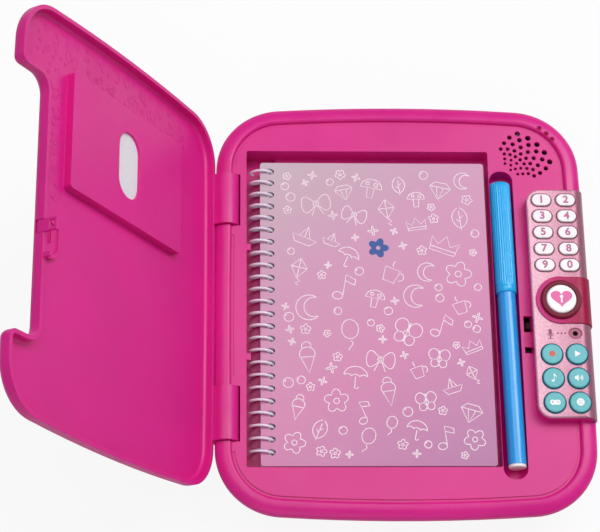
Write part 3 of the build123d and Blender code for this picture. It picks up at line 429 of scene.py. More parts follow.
zinc = metal("zinc_screw", linear(190, 190, 195), rough=0.32)
dress(zinc, "case_screws", "battery_door_screw", "battery_contacts", "board_screws",
      "latch_spring", "hinge_pin_near", "hinge_pin_far")
dress(metal("pen_tip_brass", linear(205, 180, 120), rough=0.25, stretch=(1.0, 0.1, 1.0)), "pen_tip")
dress(moulded("microphone_felt", linear(26, 22, 25), rough=0.9, grain=1500.0, gloss=0.1), "microphone")
dress(metal("frame_steel", linear(96, 96, 100), rough=0.45), "speaker_frame", "latch_solenoid")
dress(metal("ferrite", linear(58, 58, 60), rough=0.6), "speaker_magnet")
dress(moulded("cone_paper", linear(30, 28, 28), rough=0.8, grain=500.0, edge=0.0), "speaker_cone")
dress(moulded("board_green", linear(26, 92, 54), rough=0.3, coat=0.3, edge=0.0), "main_board")
dress(moulded("membrane_rubber", linear(196, 194, 196), rough=0.65), "keypad_membrane")
dress(moulded("latch_maroon", linear(44, 8, 24), rough=0.75), "latch_bolt", "lid_switch")
dress(moulded("battery_sleeve", linear(52, 66, 88), rough=0.2, coat=0.6, grain=300.0),
      *[f"battery_{place}" for place in (1, 2, 3)])
print("inner pieces finished")

# %% [markdown]
# ## Paper, card and the printed cover
# The notebook's cover is laminated card. Its colour fades from a silvery lilac at the binding's
# far corner, which is a painted sheen of reflected light, through the print's warm pink to a
# dusty rose at the near right, so the recipe measures how far a point lies along that diagonal
# and looks the colour up. The page block's edges show the single sheets as fine lines, which a
# wave texture across its thickness draws.


# %% Cover print
def printed_cover_with_painted_sheen():
    """Laminated card with a fading print and a painted sheen at the far corner."""
    low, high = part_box("notebook_front_cover")
    material, nodes, links, shader, place = new_material("cover_print")
    share = along(nodes, links, place, Vector((low.x, high.y, 0)), Vector((high.x, low.y, 0)))
    # The silvery lilac at the far corner is a painted sheen; the pinks are the print's own.
    stops = [(0.0, linear(198, 182, 192)), (0.3, linear(206, 152, 184)), (0.62, linear(210, 130, 176)),
             (1.0, linear(180, 116, 166))]
    tint = ramp(nodes, links, share, stops)
    links.new(tint.outputs[0], shader.inputs["Base Color"])
    handled = noise(nodes, links, place, 45.0, 4.0)
    shine = spread(nodes, links, handled.outputs[0], 0.3, 0.42)
    links.new(shine.outputs[0], shader.inputs["Roughness"])
    fibres = noise(nodes, links, place, 1400.0, 4.0)
    relief(nodes, links, shader, fibres.outputs[0], depth=0.01 * MM, edge=0.0)
    shader.inputs["Coat Weight"].default_value = 0.25
    shader.inputs["Coat Roughness"].default_value = 0.3
    return material


# %% Paper and window
def paper(name, colour, lines=False):
    """Paper or card; lines draws the edges of stacked sheets."""
    material, nodes, links, shader, place = new_material(name)
    fibres = noise(nodes, links, place, 900.0, 4.0)
    tint = ramp(nodes, links, fibres.outputs[0], [(0.3, scaled(colour, 0.95)), (0.7, scaled(colour, 1.04))])
    links.new(tint.outputs[0], shader.inputs["Base Color"])
    shader.inputs["Roughness"].default_value = 0.8
    heights = fibres.outputs[0]
    if lines:
        sheets = nodes.new("ShaderNodeTexWave")
        sheets.bands_direction = "Z"
        sheets.inputs["Scale"].default_value = 1300.0
        sheets.inputs["Distortion"].default_value = 1.5
        links.new(place.outputs["Object"], sheets.inputs["Vector"])
        heights = sheets.outputs["Fac"]
    relief(nodes, links, shader, heights, depth=0.03 * MM, edge=0.0)
    return material


def clear(name):
    """Clear styrene sheet with faint wipe marks."""
    material, nodes, links, shader, place = new_material(name)
    wiped = noise(nodes, links, place, 60.0, 4.0)
    shine = spread(nodes, links, wiped.outputs[0], 0.03, 0.08)
    links.new(shine.outputs[0], shader.inputs["Roughness"])
    tint = ramp(nodes, links, wiped.outputs[0], [(0.3, (0.97, 0.97, 0.98, 1)), (0.7, (1, 1, 1, 1))])
    links.new(tint.outputs[0], shader.inputs["Base Color"])
    relief(nodes, links, shader, wiped.outputs[0], depth=0.002 * MM, edge=0.2 * MM)
    shader.inputs["Transmission Weight"].default_value = 1.0
    shader.inputs["IOR"].default_value = 1.49
    return material


# %% Notebook and pen
dress(printed_cover_with_painted_sheen(), "notebook_front_cover")
dress(paper("pages", linear(246, 246, 246), lines=True), "notebook_pages")
dress(paper("back_card", linear(206, 198, 194)), "notebook_back_cover")
card_white = paper("picture_card", linear(228, 226, 232))
dress(clear("window_clear"), "picture_window")
dress(moulded("barrel_blue", linear(4, 160, 240), rough=0.24, coat=0.5, depth=0.004 * MM), "pen_barrel")
dress(moulded("plug_white", linear(244, 244, 242), rough=0.3, coat=0.2), "pen_end_plug")
print("notebook and pen finished")

# %% [markdown]
# ## Coil binding
# The CAD holds the coil as one ring for each hole, which is what collides. The real binding is
# a single nylon-coated wire wound as a helix: it passes each hole at the right side of a turn,
# climbs over the covers' edge and comes back one pitch further on. Most of that step lies on
# the free left side, so the front cover still clears the wire when it is turned over. The two
# ends are cut and turned inwards, so that they don't catch.


# %% New pieces
def add_piece(name, data, material, body, place=Matrix.Identity(4)):
    """Links a new piece at its place, gives it a finish and lets it ride on a body."""
    piece = bpy.data.objects.new(name, data)
    scene.collection.objects.link(piece)
    piece.matrix_world = place
    piece.data.materials.append(material)
    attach(piece, body)
    return piece


# %% Coil line
COIL_PITCH = 6.35 * MM
COIL_WIRE = 1.3 * MM
HOLE_ANGLE = math.radians(47.5)
IN_HOLES = 0.3       # turns to either side of a hole in which the wire hardly moves on
HOLE_DRIFT = 0.12    # pitches that it moves on in them


def coil_advance(turns):
    """How many pitches the wire has gone after so many turns, slowly while it is in the holes."""
    whole = round(turns)
    part = turns - whole
    if abs(part) <= IN_HOLES:
        return whole + part * HOLE_DRIFT / IN_HOLES
    rest = HOLE_DRIFT + (abs(part) - IN_HOLES) * (0.5 - HOLE_DRIFT) / (0.5 - IN_HOLES)
    return whole + math.copysign(rest, part)


def coil_points(per_turn=20, inward=0.35, onward=0.6):
    """Points of one helix through every hole, with its ends turned in."""
    low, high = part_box("notebook_coil")
    radius = (high.x - low.x - COIL_WIRE) / 2
    axis_x, axis_z = (high.x + low.x) / 2, (high.z + low.z) / 2
    first, last = high.y - COIL_WIRE / 2, low.y + COIL_WIRE / 2
    turns = round((first - last) / COIL_PITCH)
    points = []
    for step in range(-per_turn // 3, turns * per_turn + per_turn // 3 + 1):
        angle = HOLE_ANGLE - math.tau * step / per_turn
        y = min(first, max(last, first - COIL_PITCH * coil_advance(step / per_turn)))
        points.append((axis_x + radius * math.cos(angle), y, axis_z + radius * math.sin(angle)))
    for end, inner in ((0, 1), (-1, -2)):
        tip = Vector(points[end])
        hook = tip + (Vector((axis_x, tip.y, axis_z)) - tip) * inward
        hook += (tip - Vector(points[inner])) * onward
        points.insert(0 if end == 0 else len(points), tuple(hook))
    return points


# %% Coil
def wire_curve(points):
    """A round wire along a smooth line through the points."""
    data = bpy.data.curves.new("coil", "CURVE")
    data.dimensions = "3D"
    spline = data.splines.new("NURBS")
    spline.points.add(len(points) - 1)
    for knot, point in zip(spline.points, points):
        knot.co = (*point, 1.0)
    spline.order_u = 3
    spline.use_endpoint_u = True
    spline.resolution_u = 2
    data.bevel_depth = COIL_WIRE / 2
    data.bevel_resolution = 3
    data.use_fill_caps = True
    return data


coil_lilac = moulded("coil_lilac", linear(236, 224, 242), rough=0.22, coat=0.6, edge=0.0, depth=0.003 * MM)
coil = add_piece("binding_coil", wire_curve(coil_points()), coil_lilac, "notebook")
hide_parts("notebook_coil")
print("coil points:", len(coil.data.splines[0].points))

# %% [markdown]
# ## Pen cap
# The cap is moulded in a lighter blue with fine ribs along it for grip. The ribs fade out in a
# plain band near the open end, and the closed end is scalloped by them like a small crown. The
# mesh is a grid of rings: each ring's radius follows a cosine of its angle, and the depth of
# that wave is set by where the ring stands along the cap.


# %% Cap profile
CAP_LOW, CAP_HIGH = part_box("pen_cap")
CAP_LENGTH = CAP_HIGH.y - CAP_LOW.y
CAP_RADIUS = 5.2 * MM
CAP_TILT = math.radians(0.6)
AROUND, RIBS = 168, 28
NECK_RADIUS, NECK_DEPTH = 4.1 * MM, 16.3 * MM
TIP_RADIUS, TIP_DEPTH = 2.5 * MM, 31.0 * MM


def cap_profile():
    """Rows of distance along the cap, depth of the ribs and radius: the outside, then the bore.

    The outside is listed in millimetres, from the mouth and from the closed end, and its last
    number is added to the cap's own radius.
    """
    mouth = [(0.0, 0.0, -0.6), (0.0, 0.0, -0.25), (0.25, 0.0, 0.0), (3.2, 0.0, 0.0), (3.5, 0.0, -0.12),
             (3.9, 0.1, 0.0), (5.5, 0.3, 0.0)]
    closed_end = [(-2.6, 0.3, 0.0), (-1.2, 0.5, -0.1), (-0.4, 0.7, -0.4), (0.0, 0.5, -1.1),
                  (-0.1, 0.0, -2.2), (-0.5, 0.0, -4.0)]
    outer = [(start + at * MM, depth * MM, CAP_RADIUS + offset * MM)
             for start, rows in ((0.0, mouth), (CAP_LENGTH, closed_end)) for at, depth, offset in rows]
    bore = [(0.0, 0.0, NECK_RADIUS), (NECK_DEPTH, 0.0, NECK_RADIUS),
            (NECK_DEPTH + 0.1 * MM, 0.0, TIP_RADIUS), (TIP_DEPTH, 0.0, TIP_RADIUS)]
    return outer, bore


print("cap length", round(CAP_LENGTH, 4), "with", RIBS, "ribs")


# %% Ribbed cap
def cap_ring(form, along_cap, depth, size):
    """One ring of the grid, with the ribs as a wave in its radius."""
    corners = []
    for step in range(AROUND):
        angle = math.tau * step / AROUND
        reach = size - depth * (0.5 - 0.5 * math.cos(RIBS * angle))
        corners.append(form.verts.new((reach * math.cos(angle), along_cap, reach * math.sin(angle))))
    return corners


def cap_mesh():
    """A ribbed tube, closed at the far end, with a bore for the pen's neck."""
    mesh = bpy.data.meshes.new("ribbed_cap")
    form = bmesh.new()

    def join(one, two):
        for step in range(AROUND):
            nxt = (step + 1) % AROUND
            form.faces.new((one[step], one[nxt], two[nxt], two[step]))

    outside, inside = ([cap_ring(form, *row) for row in rows] for rows in cap_profile())
    for one, two in zip(outside, outside[1:]):
        join(one, two)
    join(inside[0], outside[0])
    for one, two in zip(inside, inside[1:]):
        join(two, one)
    form.faces.new(outside[-1])
    form.faces.new(tuple(reversed(inside[-1])))
    bmesh.ops.recalc_face_normals(form, faces=form.faces)
    for face in form.faces:
        face.smooth = len(face.verts) == 4
    form.to_mesh(mesh)
    form.free()
    far = Vector((CAP_LOW.x + CAP_RADIUS * math.cos(CAP_TILT), CAP_HIGH.y, (CAP_LOW.z + CAP_HIGH.z) / 2))
    start = far + Vector((math.sin(CAP_TILT), -math.cos(CAP_TILT), 0)) * CAP_LENGTH
    mesh.transform(Matrix.Translation(start) @ Matrix.Rotation(CAP_TILT, 4, "Z"))
    return mesh


cap_blue = moulded("cap_blue", linear(20, 184, 252), rough=0.28, coat=0.3, edge=0.0,
                   depth=0.004 * MM, glow=0.1)
cap = add_piece("ribbed_pen_cap", cap_mesh(), cap_blue, "cap")
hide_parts("pen_cap")
print("cap faces:", len(cap.data.polygons))

# %% [markdown]
# ## Small line drawings
# The cover is printed with little line drawings, and the lid is moulded with the same kind of
# motifs as a faint relief. Each motif is a few strokes in a box from -1 to 1. They are plain
# things a child might doodle, and their layout is scattered by a seeded random generator that
# rejects a place already taken. A stroke is a curve with a round bevel, flattened in height,
# so it lies on the surface as a thin film of ink or as a soft ridge.


# %% Lines
def arc(x, y, rx, ry, start=0, end=360, steps=14):
    """Points on an ellipse between two angles in degrees."""
    turns = [math.radians(start + (end - start) * step / steps) for step in range(steps + 1)]
    return [(x + rx * math.cos(turn), y + ry * math.sin(turn)) for turn in turns]


def polar(radius, steps=48):
    """A closed line whose distance from the middle is a function of the angle."""
    turns = [math.tau * step / steps for step in range(steps + 1)]
    return [(radius(turn) * math.cos(turn), radius(turn) * math.sin(turn)) for turn in turns]


# %% Motifs
def flower():
    return [polar(lambda turn: 0.55 + 0.4 * abs(math.cos(2.5 * turn))), arc(0, 0, 0.22, 0.22)]


def moon():
    return [arc(0, 0, 0.85, 0.85, 50, 310) + arc(0.3, 0, 0.62, 0.66, -72, -288)]


def music_note():
    return [arc(-0.35, -0.6, 0.32, 0.25), [(-0.03, -0.55), (-0.03, 0.85), (0.6, 0.6), (0.6, 0.25)],
            [(-0.03, 0.45), (0.6, 0.25)]]


def butterfly():
    wings = [arc(side * 0.48, 0.35, 0.45, 0.5) for side in (-1, 1)]
    return wings + [arc(side * 0.36, -0.45, 0.33, 0.36) for side in (-1, 1)] + [[(0, -0.7), (0, 0.75)]]


def paper_boat():
    return [[(-0.9, -0.1), (-0.55, -0.6), (0.55, -0.6), (0.9, -0.1), (-0.9, -0.1)],
            [(-0.4, -0.1), (0, 0.75), (0.4, -0.1)], [(0, 0.75), (0, -0.1)]]


def bow():
    loops = [(math.cos(turn), 0.6 * math.sin(2 * turn)) for turn in
             [math.tau * step / 36 for step in range(37)]]
    return [loops, arc(0, 0, 0.2, 0.2), [(-0.1, -0.2), (-0.4, -0.85)], [(0.1, -0.2), (0.4, -0.85)]]


def ice_cream():
    return [[(-0.4, 0.05), (0, -0.95), (0.4, 0.05)], arc(0, 0.25, 0.46, 0.4, -25, 205),
            arc(0, 0.72, 0.28, 0.26, -30, 210), [(-0.45, 0.05), (0.45, 0.05)]]


def balloon():
    string = [(0.12 * math.sin(5 * step / 8), -0.35 - 0.6 * step / 8) for step in range(9)]
    return [arc(0, 0.35, 0.5, 0.6), string]


def kite():
    return [[(0, 0.95), (0.55, 0.3), (0, -0.45), (-0.55, 0.3), (0, 0.95)], [(0, 0.95), (0, -0.45)],
            [(-0.55, 0.3), (0.55, 0.3)], [(0, -0.45), (0.25, -0.65), (-0.05, -0.8), (0.2, -0.95)]]


def leaf():
    return [arc(0.55, 0, 1.1, 0.95, 125, 235) + arc(-0.55, 0, 1.1, 0.95, -55, 55), [(0, -0.95), (0, 0.5)],
            [(0, -0.1), (0.25, 0.15)], [(0, -0.35), (-0.25, -0.1)]]


def crown():
    return [[(-0.8, -0.5), (-0.9, 0.4), (-0.4, 0), (0, 0.65), (0.4, 0), (0.9, 0.4), (0.8, -0.5),
             (-0.8, -0.5)],
            [(-0.8, -0.25), (0.8, -0.25)]]


def gem():
    return [[(-0.85, 0.25), (-0.45, 0.65), (0.45, 0.65), (0.85, 0.25), (0, -0.8), (-0.85, 0.25)],
            [(-0.85, 0.25), (0.85, 0.25)], [(-0.3, 0.25), (0, -0.8), (0.3, 0.25)]]


def mushroom():
    stem = [(-0.28, 0.05), (-0.22, -0.8), (0.22, -0.8), (0.28, 0.05)]
    return [arc(0, 0.05, 0.85, 0.75, 0, 180) + [(0.85, 0.05)], stem, arc(-0.3, 0.4, 0.14, 0.14),
            arc(0.35, 0.35, 0.16, 0.16)]


def cup():
    return [[(-0.6, 0.35), (-0.45, -0.6), (0.3, -0.6), (0.45, 0.35), (-0.6, 0.35)],
            arc(0.45, -0.05, 0.35, 0.3, -70, 80), arc(-0.1, 0.7, 0.08, 0.2, 90, 270)]


def umbrella():
    scallops = []
    for step in range(3):
        scallops += arc(-0.6 + 0.6 * step, 0.05, 0.3, 0.18, 180, 0, 6)
    handle = arc(0.14, -0.7, 0.14, 0.16, 180, 360)
    return [arc(0, 0.05, 0.9, 0.8, 0, 180), scallops, [(0, 0.05), (0, -0.7)], handle]


def sparkle():
    return [polar(lambda turn: 0.22 + 0.75 * abs(math.cos(2 * turn)) ** 4)]


def bubble():
    return [arc(0, 0, 0.9, 0.9), arc(-0.1, 0.1, 0.5, 0.5, 110, 170, 5)]


MOTIFS = (flower, moon, music_note, butterfly, paper_boat, bow, ice_cream, balloon, kite, leaf, crown,
          gem, mushroom, cup, umbrella)
FILLERS = (sparkle, bubble, flower)
print("motifs:", len(MOTIFS), "large and", len(FILLERS), "small")


# %% Strokes
def stroke_curve(name, placed, width):
    """All the strokes of motifs placed as (motif, x, y, size, angle) on one curve."""
    data = bpy.data.curves.new(name, "CURVE")
    data.dimensions = "3D"
    for motif, x, y, size, angle in placed:
        across, upward = math.cos(angle), math.sin(angle)
        for stroke in motif():
            looped = math.dist(stroke[0], stroke[-1]) < 1e-6
            points = stroke[:-1] if looped else stroke
            spline = data.splines.new("POLY")
            spline.points.add(len(points) - 1)
            spline.use_cyclic_u = looped
            for knot, (u, v) in zip(spline.points, points):
                knot.co = (x + size * (u * across - v * upward), y + size * (u * upward + v * across), 0, 1)
    data.bevel_depth = width / 2
    data.bevel_resolution = 1
    data.use_fill_caps = True
    return data


# %% Scatter
LARGE_SHARE = 0.75
MOTIF_GAP = 0.7 * MM
LEAN_DEGREES = 25


def scatter(seed, area, kept_clear, tries, sizes, fill_sizes):
    """Places motifs at random without overlap, first the large ones and then small fillers.

    area and kept_clear are (left, right, near, far); sizes are half widths in millimetres.
    """
    left, right, near, far = area
    clear_left, clear_right, clear_near, clear_far = kept_clear
    dice = random.Random(seed)
    placed = []
    for attempt in range(tries):
        filler = attempt > tries * LARGE_SHARE
        size = dice.uniform(*(fill_sizes if filler else sizes)) * MM
        x, y = dice.uniform(left + size, right - size), dice.uniform(near + size, far - size)
        taken = [math.dist((x, y), (other[1], other[2])) < size + other[3] + MOTIF_GAP for other in placed]
        held = (clear_left - size < x < clear_right + size
                and clear_near - size < y < clear_far + size)
        if any(taken) or held:
            continue
        kinds = FILLERS if filler else MOTIFS
        kind = kinds[len(placed) % len(kinds)]
        lean = math.radians(dice.uniform(-LEAN_DEGREES, LEAN_DEGREES))
        placed.append((kind, x, y, size, lean))
    return placed


# %% [markdown]
# ## The cover's print
# The white lines fill the cover from the coil to its edges. One solid little flower in blue
# stands above the middle, as the print's only filled spot.

# %% Ink
def ink(name, colour, rough, **finish):
    """Printed ink: a flat film with no rounded edges and hardly any grain."""
    return moulded(name, colour, rough=rough, edge=0.0, depth=0.002 * MM, **finish)


def level(height, flat=1.0):
    """A place at a height, where the piece's own height is scaled."""
    return Matrix.Translation((0, 0, height)) @ Matrix.Diagonal((1, 1, flat, 1))


# %% Cover drawings
PEN_WIDTH = 0.6 * MM
INK_FLATNESS = 0.08
COIL_MARGIN, EDGE_MARGIN = 10 * MM, 3 * MM
cover_low, cover_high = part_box("notebook_front_cover")
blue_spot = Vector((-11.0, 30.5, 0)) * MM
clear_spot = (blue_spot.x - 9 * MM, blue_spot.x + 9 * MM, blue_spot.y - 5 * MM, blue_spot.y + 5 * MM)
printed_area = (cover_low.x + COIL_MARGIN, cover_high.x - EDGE_MARGIN,
                cover_low.y + EDGE_MARGIN, cover_high.y - EDGE_MARGIN)
drawings = scatter(41, printed_area, clear_spot, tries=6000, sizes=(5.0, 8.4), fill_sizes=(1.9, 3.0))
add_piece("cover_drawings", stroke_curve("cover_drawings", drawings, PEN_WIDTH),
          ink("white_ink", linear(250, 228, 240), 0.35), "cover",
          level(cover_high.z, INK_FLATNESS))
print("drawings on the cover:", len(drawings))


# %% Filled shapes
INK_HEIGHT = 0.03 * MM


def filled(name, outlines):
    """A flat filled curve; an outline inside another one is a hole."""
    data = bpy.data.curves.new(name, "CURVE")
    data.dimensions = "2D"
    data.fill_mode = "BOTH"
    data.extrude = INK_HEIGHT / 2
    for points in outlines:
        spline = data.splines.new("POLY")
        spline.points.add(len(points) - 1)
        spline.use_cyclic_u = True
        for knot, (x, y) in zip(spline.points, points):
            knot.co = (x, y, 0, 1)
    return data


def placed_at(points, x, y, size):
    """The same points, scaled and moved."""
    return [(x + size * u, y + size * v) for u, v in points]


def disc(x, y, radius, steps=14):
    """A closed round outline, without its doubled last point."""
    return arc(x, y, radius, radius, steps=steps)[:-1]


def stamp(name, outlines, height, material, body):
    """A filled film of ink on a level surface."""
    return add_piece(name, filled(name, outlines), material, body, level(height))


FLOWER_SIZE = 5.6 * MM
blossom = [placed_at(outline, blue_spot.x, blue_spot.y, FLOWER_SIZE)
           for outline in (flower()[0][:-1], disc(0, 0, 0.2))]
stamp("cover_flower", blossom, cover_high.z, ink("blue_ink", linear(34, 78, 158), 0.35),
      "cover")
print("blue flower at", [round(part, 4) for part in blue_spot])

# %% [markdown]
# ## Prints on the keys
# Each digit key carries its number, pad-printed in mauve. The six round keys carry plain signs
# for their use, and the large button carries a heart with a keyhole in it. A print is a film
# 0.03 mm thick on top of its key, and it rides on that key when it is pressed. Each key widens
# below the panel to a flange, which is cut off on the right where the panel curves down. So a
# key's middle is measured from its left end.


# %% Digits
def top_middle(node):
    """Middle of the top of a CAD node."""
    low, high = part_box(node)
    return Vector(((low.x + high.x) / 2, (low.y + high.y) / 2, high.z))


FLANGE = 0.5 * MM
DIGIT_HALF_WIDTH = 4.7 * MM
COLUMN_STEP = 12.15 * MM
DIGIT_SIZE = 5.3 * MM
DIGIT_BOLDNESS = 0.2 * MM

mauve_ink = ink("mauve_ink", linear(188, 100, 150), 0.4)
left_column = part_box("digit_button_1")[0].x + FLANGE + DIGIT_HALF_WIDTH
for digit, node in zip(DIGITS, digit_nodes):
    shift = 0 if digit in "13579" else COLUMN_STEP
    text = bpy.data.curves.new(f"print_{digit}", "FONT")
    text.body = digit
    text.size = DIGIT_SIZE
    text.offset = DIGIT_BOLDNESS
    text.extrude = INK_HEIGHT / 2
    text.align_x = "CENTER"
    text.align_y = "CENTER"
    top = top_middle(node)
    add_piece(f"print_{digit}", text, mauve_ink, f"{node}_body",
              Matrix.Translation((left_column + shift, top.y, top.z)))
print("digits printed:", len(DIGITS))


# %% Signs on the round keys
def triangle():
    return [(-0.55, -0.75), (0.8, 0.0), (-0.55, 0.75)]


def note_sign():
    head = arc(-0.2, -0.62, 0.34, 0.26)[:-1]
    stem = [(0.02, -0.6), (0.14, -0.6), (0.14, 0.45), (0.6, 0.1), (0.62, 0.25), (0.14, 0.95), (0.02, 0.95)]
    return [head, stem]


def speaker_sign():
    body = [(-0.85, -0.3), (-0.5, -0.3), (-0.1, -0.7), (-0.1, 0.7), (-0.5, 0.3), (-0.85, 0.3)]
    waves = []
    for radius in (0.35, 0.62, 0.9):
        inner = radius - 0.13
        waves.append(arc(-0.05, 0, radius, radius, -42, 42, 8) + arc(-0.05, 0, inner, inner, 42, -42, 8))
    return [body] + waves


def gamepad_sign():
    body = arc(-0.5, -0.05, 0.48, 0.5, 60, 290, 14) + arc(0.5, -0.05, 0.48, 0.5, -110, 120, 14)
    cross = [(-0.56, 0.22), (-0.44, 0.22), (-0.44, 0.06), (-0.28, 0.06), (-0.28, -0.06), (-0.44, -0.06),
             (-0.44, -0.22), (-0.56, -0.22), (-0.56, -0.06), (-0.72, -0.06), (-0.72, 0.06), (-0.56, 0.06)]
    return [body, cross, disc(0.38, 0.1, 0.1), disc(0.62, -0.1, 0.1)]


def dotted_disc():
    dots = [disc(x, y, 0.12) for x, y in ((-0.3, 0.25), (0.3, 0.25), (-0.3, -0.3), (0.3, -0.3))]
    return [disc(0, 0, 0.85, 30)] + dots + [disc(0, -0.02, 0.12)]


# %% Print the signs
FUNCTION_HALF_WIDTH = 4.95 * MM
SIGNS = {"record": ([disc(0, 0, 0.8, 28)], 1.9), "play": ([triangle()], 2.1), "music": (note_sign(), 2.3),
         "speaker": (speaker_sign(), 2.4), "game": (gamepad_sign(), 2.6), "face": (dotted_disc(), 2.2)}
white_ink = ink("sign_white", linear(250, 252, 252), 0.4)
red_ink = ink("sign_red", linear(214, 92, 84), 0.4)
for name, (outlines, size) in SIGNS.items():
    top = top_middle(f"{name}_button")
    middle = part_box(f"{name}_button")[0].x + FLANGE + FUNCTION_HALF_WIDTH
    shapes = [placed_at(points, middle, top.y, size * MM) for points in outlines]
    stamp(f"sign_{name}", shapes, top.z, red_ink if name == "record" else white_ink,
          f"{name}_button_body")
print("signs printed:", len(SIGNS))


# %% Heart and keyhole
def heart_points(steps=48):
    """A plump heart as a closed line about 2 wide."""
    turns = [math.tau * step / steps for step in range(steps)]
    return [(math.sin(turn) ** 3, (13 * math.cos(turn) - 5 * math.cos(2 * turn) - 2 * math.cos(3 * turn)
                                   - math.cos(4 * turn)) / 18) for turn in turns]


def keyhole_points():
    foot = [(-0.08, -0.28), (-0.14, -0.46), (0.14, -0.46), (0.08, -0.28)]
    return arc(0, 0.26, 0.2, 0.18, -60, 240, 16) + foot


HEART_SIZE, HEART_LIFT = 5.3 * MM, 0.4 * MM
KEYHOLE_SIZE = 4.4 * MM
middle = top_middle("heart_button")
outlines = [placed_at(heart_points(), middle.x, middle.y + HEART_LIFT, HEART_SIZE),
            placed_at(keyhole_points(), middle.x, middle.y, KEYHOLE_SIZE)]
stamp("heart_print", outlines, middle.z, ink("heart_ink", linear(226, 72, 158), 0.3, coat=0.3),
      "heart")
print("heart print at", [round(part, 4) for part in middle])

# %% [markdown]
# ## Shadow gaps and sunk dots
# Round every key a thin dark line of painted shadow fills the gap between the key and the
# panel: brown round the digits and petrol round the teal keys. A flat ring draws each of them.
# The three sunk dots on the rim get a dark disc on their floor, painted shade in the recess.

# %% Outlines of the gaps
GAP_START, GAP_END = 0.27 * MM, 0.72 * MM
panel_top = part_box("keypad_bezel")[1].z


def oval(x, y, half_width, half_height, steps=40):
    """A closed line round a key: a circle, or an oval with straight long sides."""
    straight = max(0.0, half_width - half_height)
    turns = [math.tau * (step + 0.5) / steps for step in range(steps)]
    return [(x + math.copysign(straight, math.cos(turn)) + half_height * math.cos(turn),
             y + half_height * math.sin(turn)) for turn in turns]


def key_half_height(node):
    """Half the height of a key, as seen from above, without its flange."""
    low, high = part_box(node)
    return (high.y - low.y) / 2 - FLANGE


def painted_shadow_rings(nodes, half_width):
    """Inner and outer lines of the painted shadow round each key."""
    half = key_half_height(nodes[0])
    lines = []
    for node in nodes:
        x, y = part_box(node)[0].x + FLANGE + half_width, top_middle(node).y
        lines += [oval(x, y, half_width + reach, half + reach) for reach in (GAP_START, GAP_END)]
    return lines


# %% Shadow gaps
# These dark rings are painted shadow in the gaps round the keys.
brown_painted_shadow = ink("painted_shadow_brown", linear(140, 84, 102), 0.6, gloss=0.1)
petrol_painted_shadow = ink("painted_shadow_petrol", linear(38, 92, 112), 0.6, gloss=0.1)
stamp("digit_gap_shadows", painted_shadow_rings(digit_nodes, DIGIT_HALF_WIDTH), panel_top, brown_painted_shadow, "base")
stamp("function_gap_shadows", painted_shadow_rings(function_nodes, FUNCTION_HALF_WIDTH), panel_top, petrol_painted_shadow,
      "base")
for node in ("digit_button_1", "record_button"):
    print("half height of", node, round(key_half_height(node), 5))

# %% Rim dots
RIM_TOP = 31.6 * MM
DOT_DEPTH = 0.55 * MM
DOT_RADIUS = 1.13 * MM
DOT_SPOTS = ((72.6, 95.3), (76.0, 92.3), (78.8, 89.2))
dots = [oval(x * MM, y * MM, DOT_RADIUS, DOT_RADIUS, 24) for x, y in DOT_SPOTS]
# The dark crimson disc at each dot's floor is painted shade in the recess.
stamp("rim_dots", dots, RIM_TOP - DOT_DEPTH, ink("painted_shade_crimson", linear(158, 10, 68), 0.6, gloss=0.1),
      "base")
print("dots on the rim:", len(dots))

# %% [markdown]
# ## Marks round the microphone
# A small microphone sign and three dots lead to the microphone's opening, which has a printed
# oval round it. A flat ring a little lower covers the floor of the dish round the opening.

# %% Microphone marks
SIGN_DISTANCE, SIGN_SIZE = 12.3 * MM, 2.5 * MM
MARK_DISTANCES, MARK_RADIUS = (8.6, 6.8, 5.0), 0.5 * MM
RING_SIZES = ((3.45, 2.95), (3.0, 2.5))
mic = top_middle("microphone")
capsule = arc(0, 0.55, 0.34, 0.34, 0, 180, 10) + arc(0, -0.05, 0.34, 0.34, 180, 360, 10)
cradle = arc(0, 0, 0.62, 0.62, 180, 360, 14) + arc(0, 0, 0.48, 0.48, 360, 180, 14)
stand = [(-0.08, -1.0), (-0.08, -0.6), (0.08, -0.6), (0.08, -1.0), (0.5, -1.0), (0.5, -1.15),
         (-0.5, -1.15), (-0.5, -1.0)]
marks = [placed_at(outline, mic.x - SIGN_DISTANCE, mic.y, SIGN_SIZE) for outline in (capsule, cradle, stand)]
marks += [disc(mic.x - reach * MM, mic.y, MARK_RADIUS) for reach in MARK_DISTANCES]
marks += [arc(mic.x, mic.y, wide * MM, high * MM, steps=36)[:-1] for wide, high in RING_SIZES]
stamp("microphone_marks", marks, panel_top, ink("plum_ink", linear(150, 66, 102), 0.5), "base")
print("outlines round the microphone:", len(marks))

# %% Microphone dish
DISH_DEPTH = 0.4 * MM
DISH_HALF_WIDTH, DISH_HALF_HEIGHT = 2.9 * MM, 2.4 * MM
OPENING_RADIUS = 1.32 * MM
dish_rose = ink("dish_rose", linear(186, 112, 134), 0.5, gloss=0.2)
dish = [oval(mic.x, mic.y, DISH_HALF_WIDTH, DISH_HALF_HEIGHT),
        oval(mic.x, mic.y, OPENING_RADIUS, OPENING_RADIUS)]
stamp("microphone_dish", dish, panel_top - DISH_DEPTH, dish_rose, "base")
print("dish floor at", round(panel_top - DISH_DEPTH, 4))

# %% [markdown]
# ## Relief on the lid
# The mould has the same sort of motifs cut a little into it, so the lid has low ridges: inside
# along its far edge and down one side of the picture's pocket, and outside all round the
# picture's frame. They are laid out on the closed lid, where its faces are level, and then
# turned about the hinge with the lid.

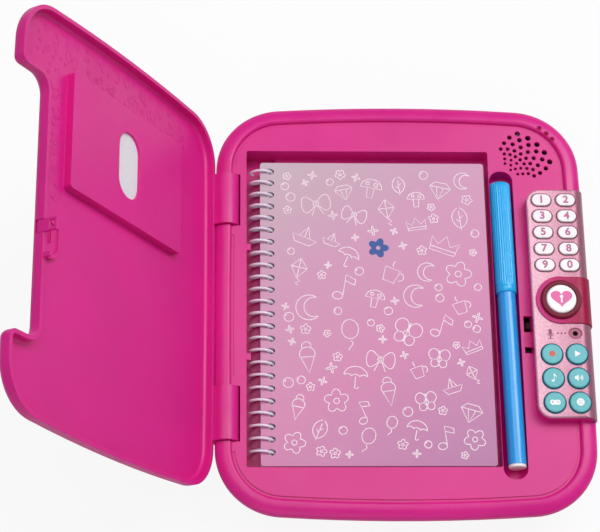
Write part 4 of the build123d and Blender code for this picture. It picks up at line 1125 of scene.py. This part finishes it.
# %% Turned lid
LID_TURN = math.radians(-120)
hinge = next(joint for joint in frame["joints"] if joint["name"] == "lid_hinge")
hinge_at = Vector(hinge["pos_m"])
opened = (Matrix.Translation(hinge_at) @ Matrix.Rotation(LID_TURN, 4, "Y")
          @ Matrix.Translation(-hinge_at))
print("hinge at", [round(part, 4) for part in hinge_at])

# %% Lid relief
INNER_FACE, OUTER_FACE = 34.9 * MM, 37.1 * MM
ridge_pink = moulded("ridge_pink", PINK, rough=0.4, edge=0.0, glow=0.12)


def lid_area(*sides):
    """Left, right, near and far sides of an area on the closed lid, given in millimetres."""
    return tuple(side * MM for side in sides)


def lid_relief(name, placed, width, height, flat):
    """Motifs as soft ridges on a face that is level while the lid is closed."""
    return add_piece(name, stroke_curve(name, placed, width), ridge_pink, "lid",
                     opened @ level(height, flat))


pad = lid_area(-52, 43.5, 14, 73.5)
far_band = scatter(9, lid_area(-60, 66, 73, 93), pad, tries=2500, sizes=(4.0, 6.0), fill_sizes=(1.0, 1.8))
side_strip = scatter(3, lid_area(43.5, 58, 6, 72), pad, tries=900, sizes=(3.5, 5.0), fill_sizes=(1.0, 1.6))
lid_relief("lid_relief_far", far_band + side_strip, width=0.6 * MM, height=INNER_FACE, flat=0.5)
window_frame = lid_area(-54, 46, 12, 76)
outside = scatter(17, lid_area(-70, 54, -88, 88), window_frame, tries=3500, sizes=(6.0, 9.5),
                  fill_sizes=(1.5, 3.0))
lid_relief("lid_relief_outside", outside, width=0.7 * MM, height=OUTER_FACE, flat=0.7)
print("motifs in the lid:", len(far_band) + len(side_strip), "inside,", len(outside), "outside")

# %% [markdown]
# ## Picture card
# The card lies against its clear window. Two faces in exactly one plane confuse the light that
# passes through the window, so this card is the CAD's card with its outer face a hair lower.

# %% Picture card
CARD_SHARE = 0.85


def thinned_card():
    """The card's own mesh with a share of its thickness, cut back on the side of the window."""
    mesh = NODES["picture_card"].data.copy()
    mesh.materials.clear()
    mesh.transform(opened.inverted())
    inner_face = min(vertex.co.z for vertex in mesh.vertices)
    for vertex in mesh.vertices:
        vertex.co.z = inner_face + CARD_SHARE * (vertex.co.z - inner_face)
    mesh.transform(opened)
    return mesh


card = add_piece("card_behind_window", thinned_card(), card_white, "lid")
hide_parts("picture_card")
print("card faces:", len(card.data.polygons))
